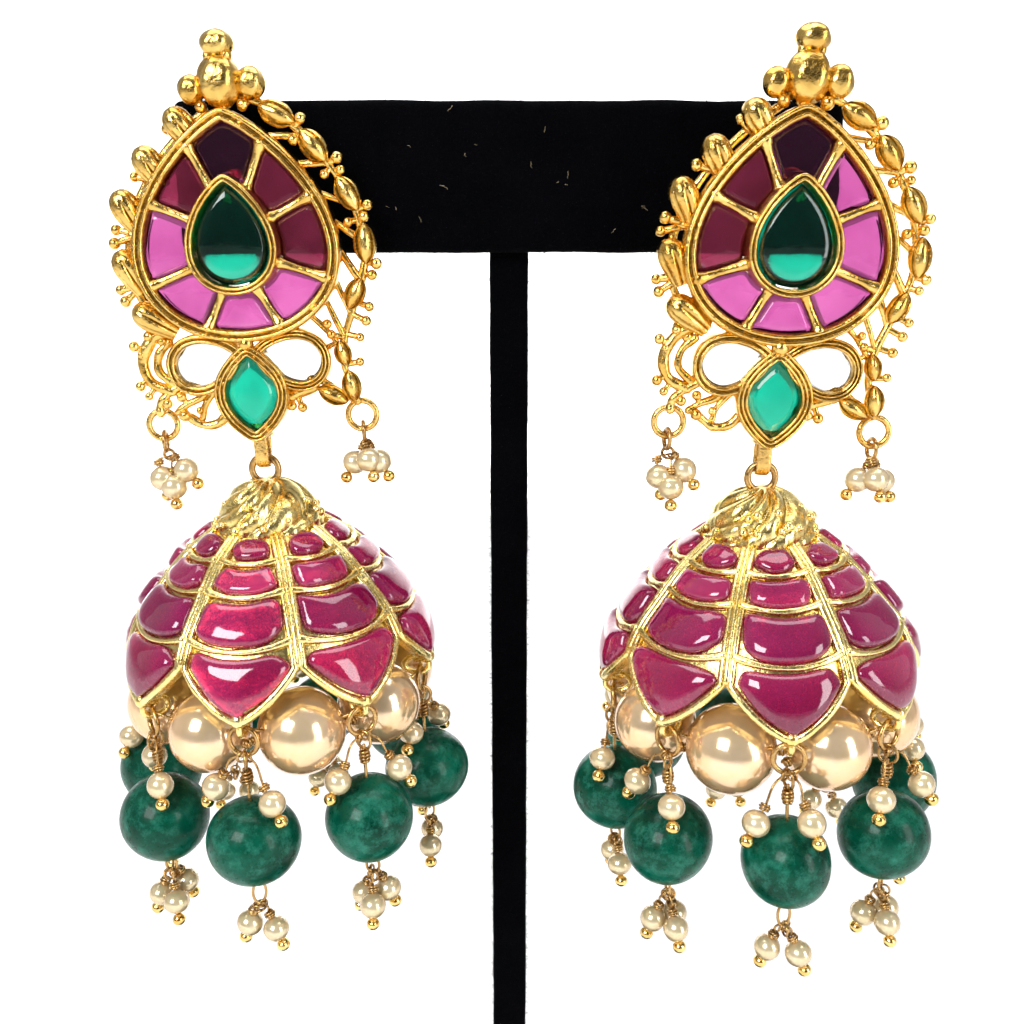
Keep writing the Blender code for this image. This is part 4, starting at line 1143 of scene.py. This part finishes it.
def soft_box(piece, low, high, edge, spacing, uneven):
    """A padded box with rounded edges and an uneven covering, and its faces' middles, normals and areas."""
    low, high = np.array(low, float), np.array(high, float)
    middle, inner = (low + high) / 2, (high - low) / 2 - edge
    bend = edge * np.tan(np.linspace(0, math.pi / 4, 3))[1:]
    steps = []
    for flat in inner:
        even = np.linspace(-flat, flat, math.ceil(2 * flat / spacing) + 1)
        steps.append(np.concatenate([-flat - bend[::-1], even, flat + bend]))
    sheets, faces, count = [], [], 0
    for axis in range(3):
        across, along = (axis + 1) % 3, (axis + 2) % 3
        for sign in (-1, 1):
            sheet = np.zeros((len(steps[across]), len(steps[along]), 3))
            sheet[..., axis] = sign * (inner[axis] + edge)
            sheet[..., across] = steps[across][:, None]
            sheet[..., along] = steps[along]
            faces.append(grid(*sheet.shape[:2], wrap_columns=False) + count)
            sheets.append(sheet.reshape(-1, 3))
            count += len(sheets[-1])
    points = np.concatenate(sheets)
    _, first, merged = np.unique(np.round(points, 6) + 0.0, axis=0, return_index=True, return_inverse=True)
    points, faces = points[first], merged.reshape(-1)[np.concatenate(faces)]
    inside = np.clip(points, -inner, inner)
    normals = unit(points - inside)
    points = middle + inside + normals * edge
    waves = noise.normal(size=(6, 3))
    shifts = noise.uniform(0, 6.3, 6)
    points += normals * np.sin(points @ waves.T * 0.5 + shifts).mean(1)[:, None] * uneven
    piece.add(points, [faces])
    corners = points[faces]
    crossed = np.cross(corners[:, 2] - corners[:, 0], corners[:, 3] - corners[:, 1])
    return corners.mean(1), unit(normals[faces].mean(1)), np.linalg.norm(crossed, axis=1) / 2


def add_fuzz(piece, surface, count):
    """Short fibres that stand off a surface."""
    centres, normals, areas = surface
    points = []
    for pick in noise.choice(len(areas), count, p=areas / areas.sum()):
        centre, normal = centres[pick], normals[pick]
        start = centre + noise.normal(0, math.sqrt(areas[pick]) * 0.28, 3)
        start -= normal * ((start - centre).dot(normal) + 0.05)
        lean = unit(normal + noise.normal(0, 0.45, 3))
        side = unit(np.cross(lean, noise.normal(0, 1, 3))) * fibre_wire
        end = start + lean * fibre_length * noise.uniform(0.4, 1.4)
        points += [start + side, start - side, end]
    faces = np.arange(len(points)).reshape(-1, 3)
    piece.add(points, [faces])


def build_stand():
    low, high = (np.array(c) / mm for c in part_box("stand_tee"))
    base_low, base_high = (np.array(c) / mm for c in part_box("stand_base"))
    identity = Matrix.Identity(4)
    piece = Piece("velvet_bar_and_post", [velvet])
    bar = soft_box(piece, (low[0], low[1], high[2] - bar_height), high, 0.9, 2.2, 0.12)
    middle_y = (low[1] + high[1]) / 2
    post_low = (stand_x - post_half, middle_y - post_half, low[2])
    post_high = (stand_x + post_half, middle_y + post_half, high[2] - bar_height + 0.5)
    post = soft_box(piece, post_low, post_high, 0.5, 1.8, 0.06)
    add_fuzz(piece, [np.concatenate(parts) for parts in zip(bar, post)], bar_fibres)
    piece.build("stand", identity, ["stand_tee"], 0)
    piece = Piece("velvet_base", [velvet])
    surface = soft_box(piece, base_low, base_high, 1.4, 2.6, 0.15)
    add_fuzz(piece, surface, base_fibres)
    piece.build("stand", identity, ["stand_base"], 0)
    piece = Piece("loose_fibres", [seed])
    for _ in range(loose_fibres):
        x = noise.uniform(low[0] + 3, high[0] - 3)
        z = noise.uniform(high[2] - bar_height + 1, high[2] - 1)
        start = np.array((x, low[1] - 0.15, z))
        turns = np.cumsum(noise.normal(0, 0.5, 6)) + noise.uniform(0, 6.3)
        steps = np.stack([np.cos(turns), np.zeros(6), np.sin(turns)], -1) * noise.uniform(0.05, 0.14)
        tube(piece, smooth_path(start + np.cumsum(steps, 0), 3), loose_wire, 4)
    piece.build("stand", identity, (), 0)


# Room

def build_room():
    made, tree, shader = material("pale_backdrop", (0.93, 0.93, 0.93), 0.85)
    shade = texture(tree, 3.0, 2)
    pale = ramp(tree, shade, ((0.3, (0.92, 0.92, 0.92)), (0.7, (0.95, 0.95, 0.95))))
    tree.links.new(pale, shader.inputs["Base Color"])
    reach, bend_start, bend = 2.5, 0.5, 0.4
    profile = [(-reach, 0.0), (bend_start, 0.0)]
    profile += [(bend_start + bend * math.sin(a), bend - bend * math.cos(a))
                for a in np.linspace(0.1, math.pi / 2, 12)]
    profile.append((bend_start + bend, reach))
    points = [(x, y, z) for y, z in profile for x in (-reach, reach)]
    faces = [(2 * i, 2 * i + 1, 2 * i + 3, 2 * i + 2) for i in range(len(profile) - 1)]
    mesh = bpy.data.meshes.new("backdrop")
    mesh.from_pydata(points, [], faces)
    mesh.shade_smooth()
    mesh.materials.append(made)
    backdrop = bpy.data.objects.new("backdrop", mesh)
    bpy.context.scene.collection.objects.link(backdrop)


def add_area(name, place, target, size, watts):
    light = bpy.data.lights.new(name, "AREA")
    light.shape = "RECTANGLE"
    light.size, light.size_y = size
    light.energy = watts
    obj = bpy.data.objects.new(name, light)
    obj.location = place
    obj.rotation_mode = "QUATERNION"
    obj.rotation_quaternion = (Vector(target) - Vector(place)).to_track_quat("-Z", "Y")
    bpy.context.scene.collection.objects.link(obj)


def build_light():
    world = bpy.data.worlds.new("studio")
    world.use_nodes = True
    tree = world.node_tree
    background = tree.nodes["Background"]
    place = tree.nodes.new("ShaderNodeTexCoord")
    split = tree.nodes.new("ShaderNodeSeparateXYZ")
    tree.links.new(place.outputs["Generated"], split.inputs["Vector"])
    stops = ((0.0, (0.10, 0.10, 0.11)), (0.3, (0.32, 0.32, 0.33)), (0.6, (0.8, 0.8, 0.8)), (1.0, (1, 1, 1)))
    shade = ramp(tree, remap(tree, split.outputs["Y"], 0.0, 1.0, -1.0, 1.0), stops)
    tree.links.new(shade, background.inputs["Color"])
    background.inputs["Strength"].default_value = 0.7
    bpy.context.scene.world = world
    middle, backdrop = (0, 0, 0.1), (0, 0.9, 0.2)
    add_area("key", (-0.28, -0.42, 0.42), middle, (0.26, 0.26), watts=2.9)
    add_area("fill", (0.42, -0.34, 0.22), middle, (0.16, 0.4), watts=1.4)
    add_area("top", (0.0, 0.05, 0.6), middle, (0.6, 0.3), watts=2.2)
    add_area("back", (0.0, 0.42, 0.3), backdrop, (1.0, 0.4), watts=9.0)


def build_camera():
    camera = bpy.data.cameras.new("camera")
    sensor, focal_pixels, photo_pixels, down = 36, 1100, 1024, 15
    camera.sensor_width = sensor
    camera.lens = sensor * focal_pixels / photo_pixels
    camera.clip_start = 0.001
    obj = bpy.data.objects.new("camera", camera)
    obj.location = (-0.0009, -0.106, 0.1295)
    obj.rotation_euler = (math.radians(90 - down), 0, 0)
    bpy.context.scene.collection.objects.link(obj)
    bpy.context.scene.camera = obj


for word, side in side_signs.items():
    build_stud(word, side)
    build_jhumka(word)
build_stand()
build_room()
build_light()
build_camera()
bpy.context.scene.view_settings.view_transform = "Standard"
bpy.context.scene.view_settings.exposure = 0.0
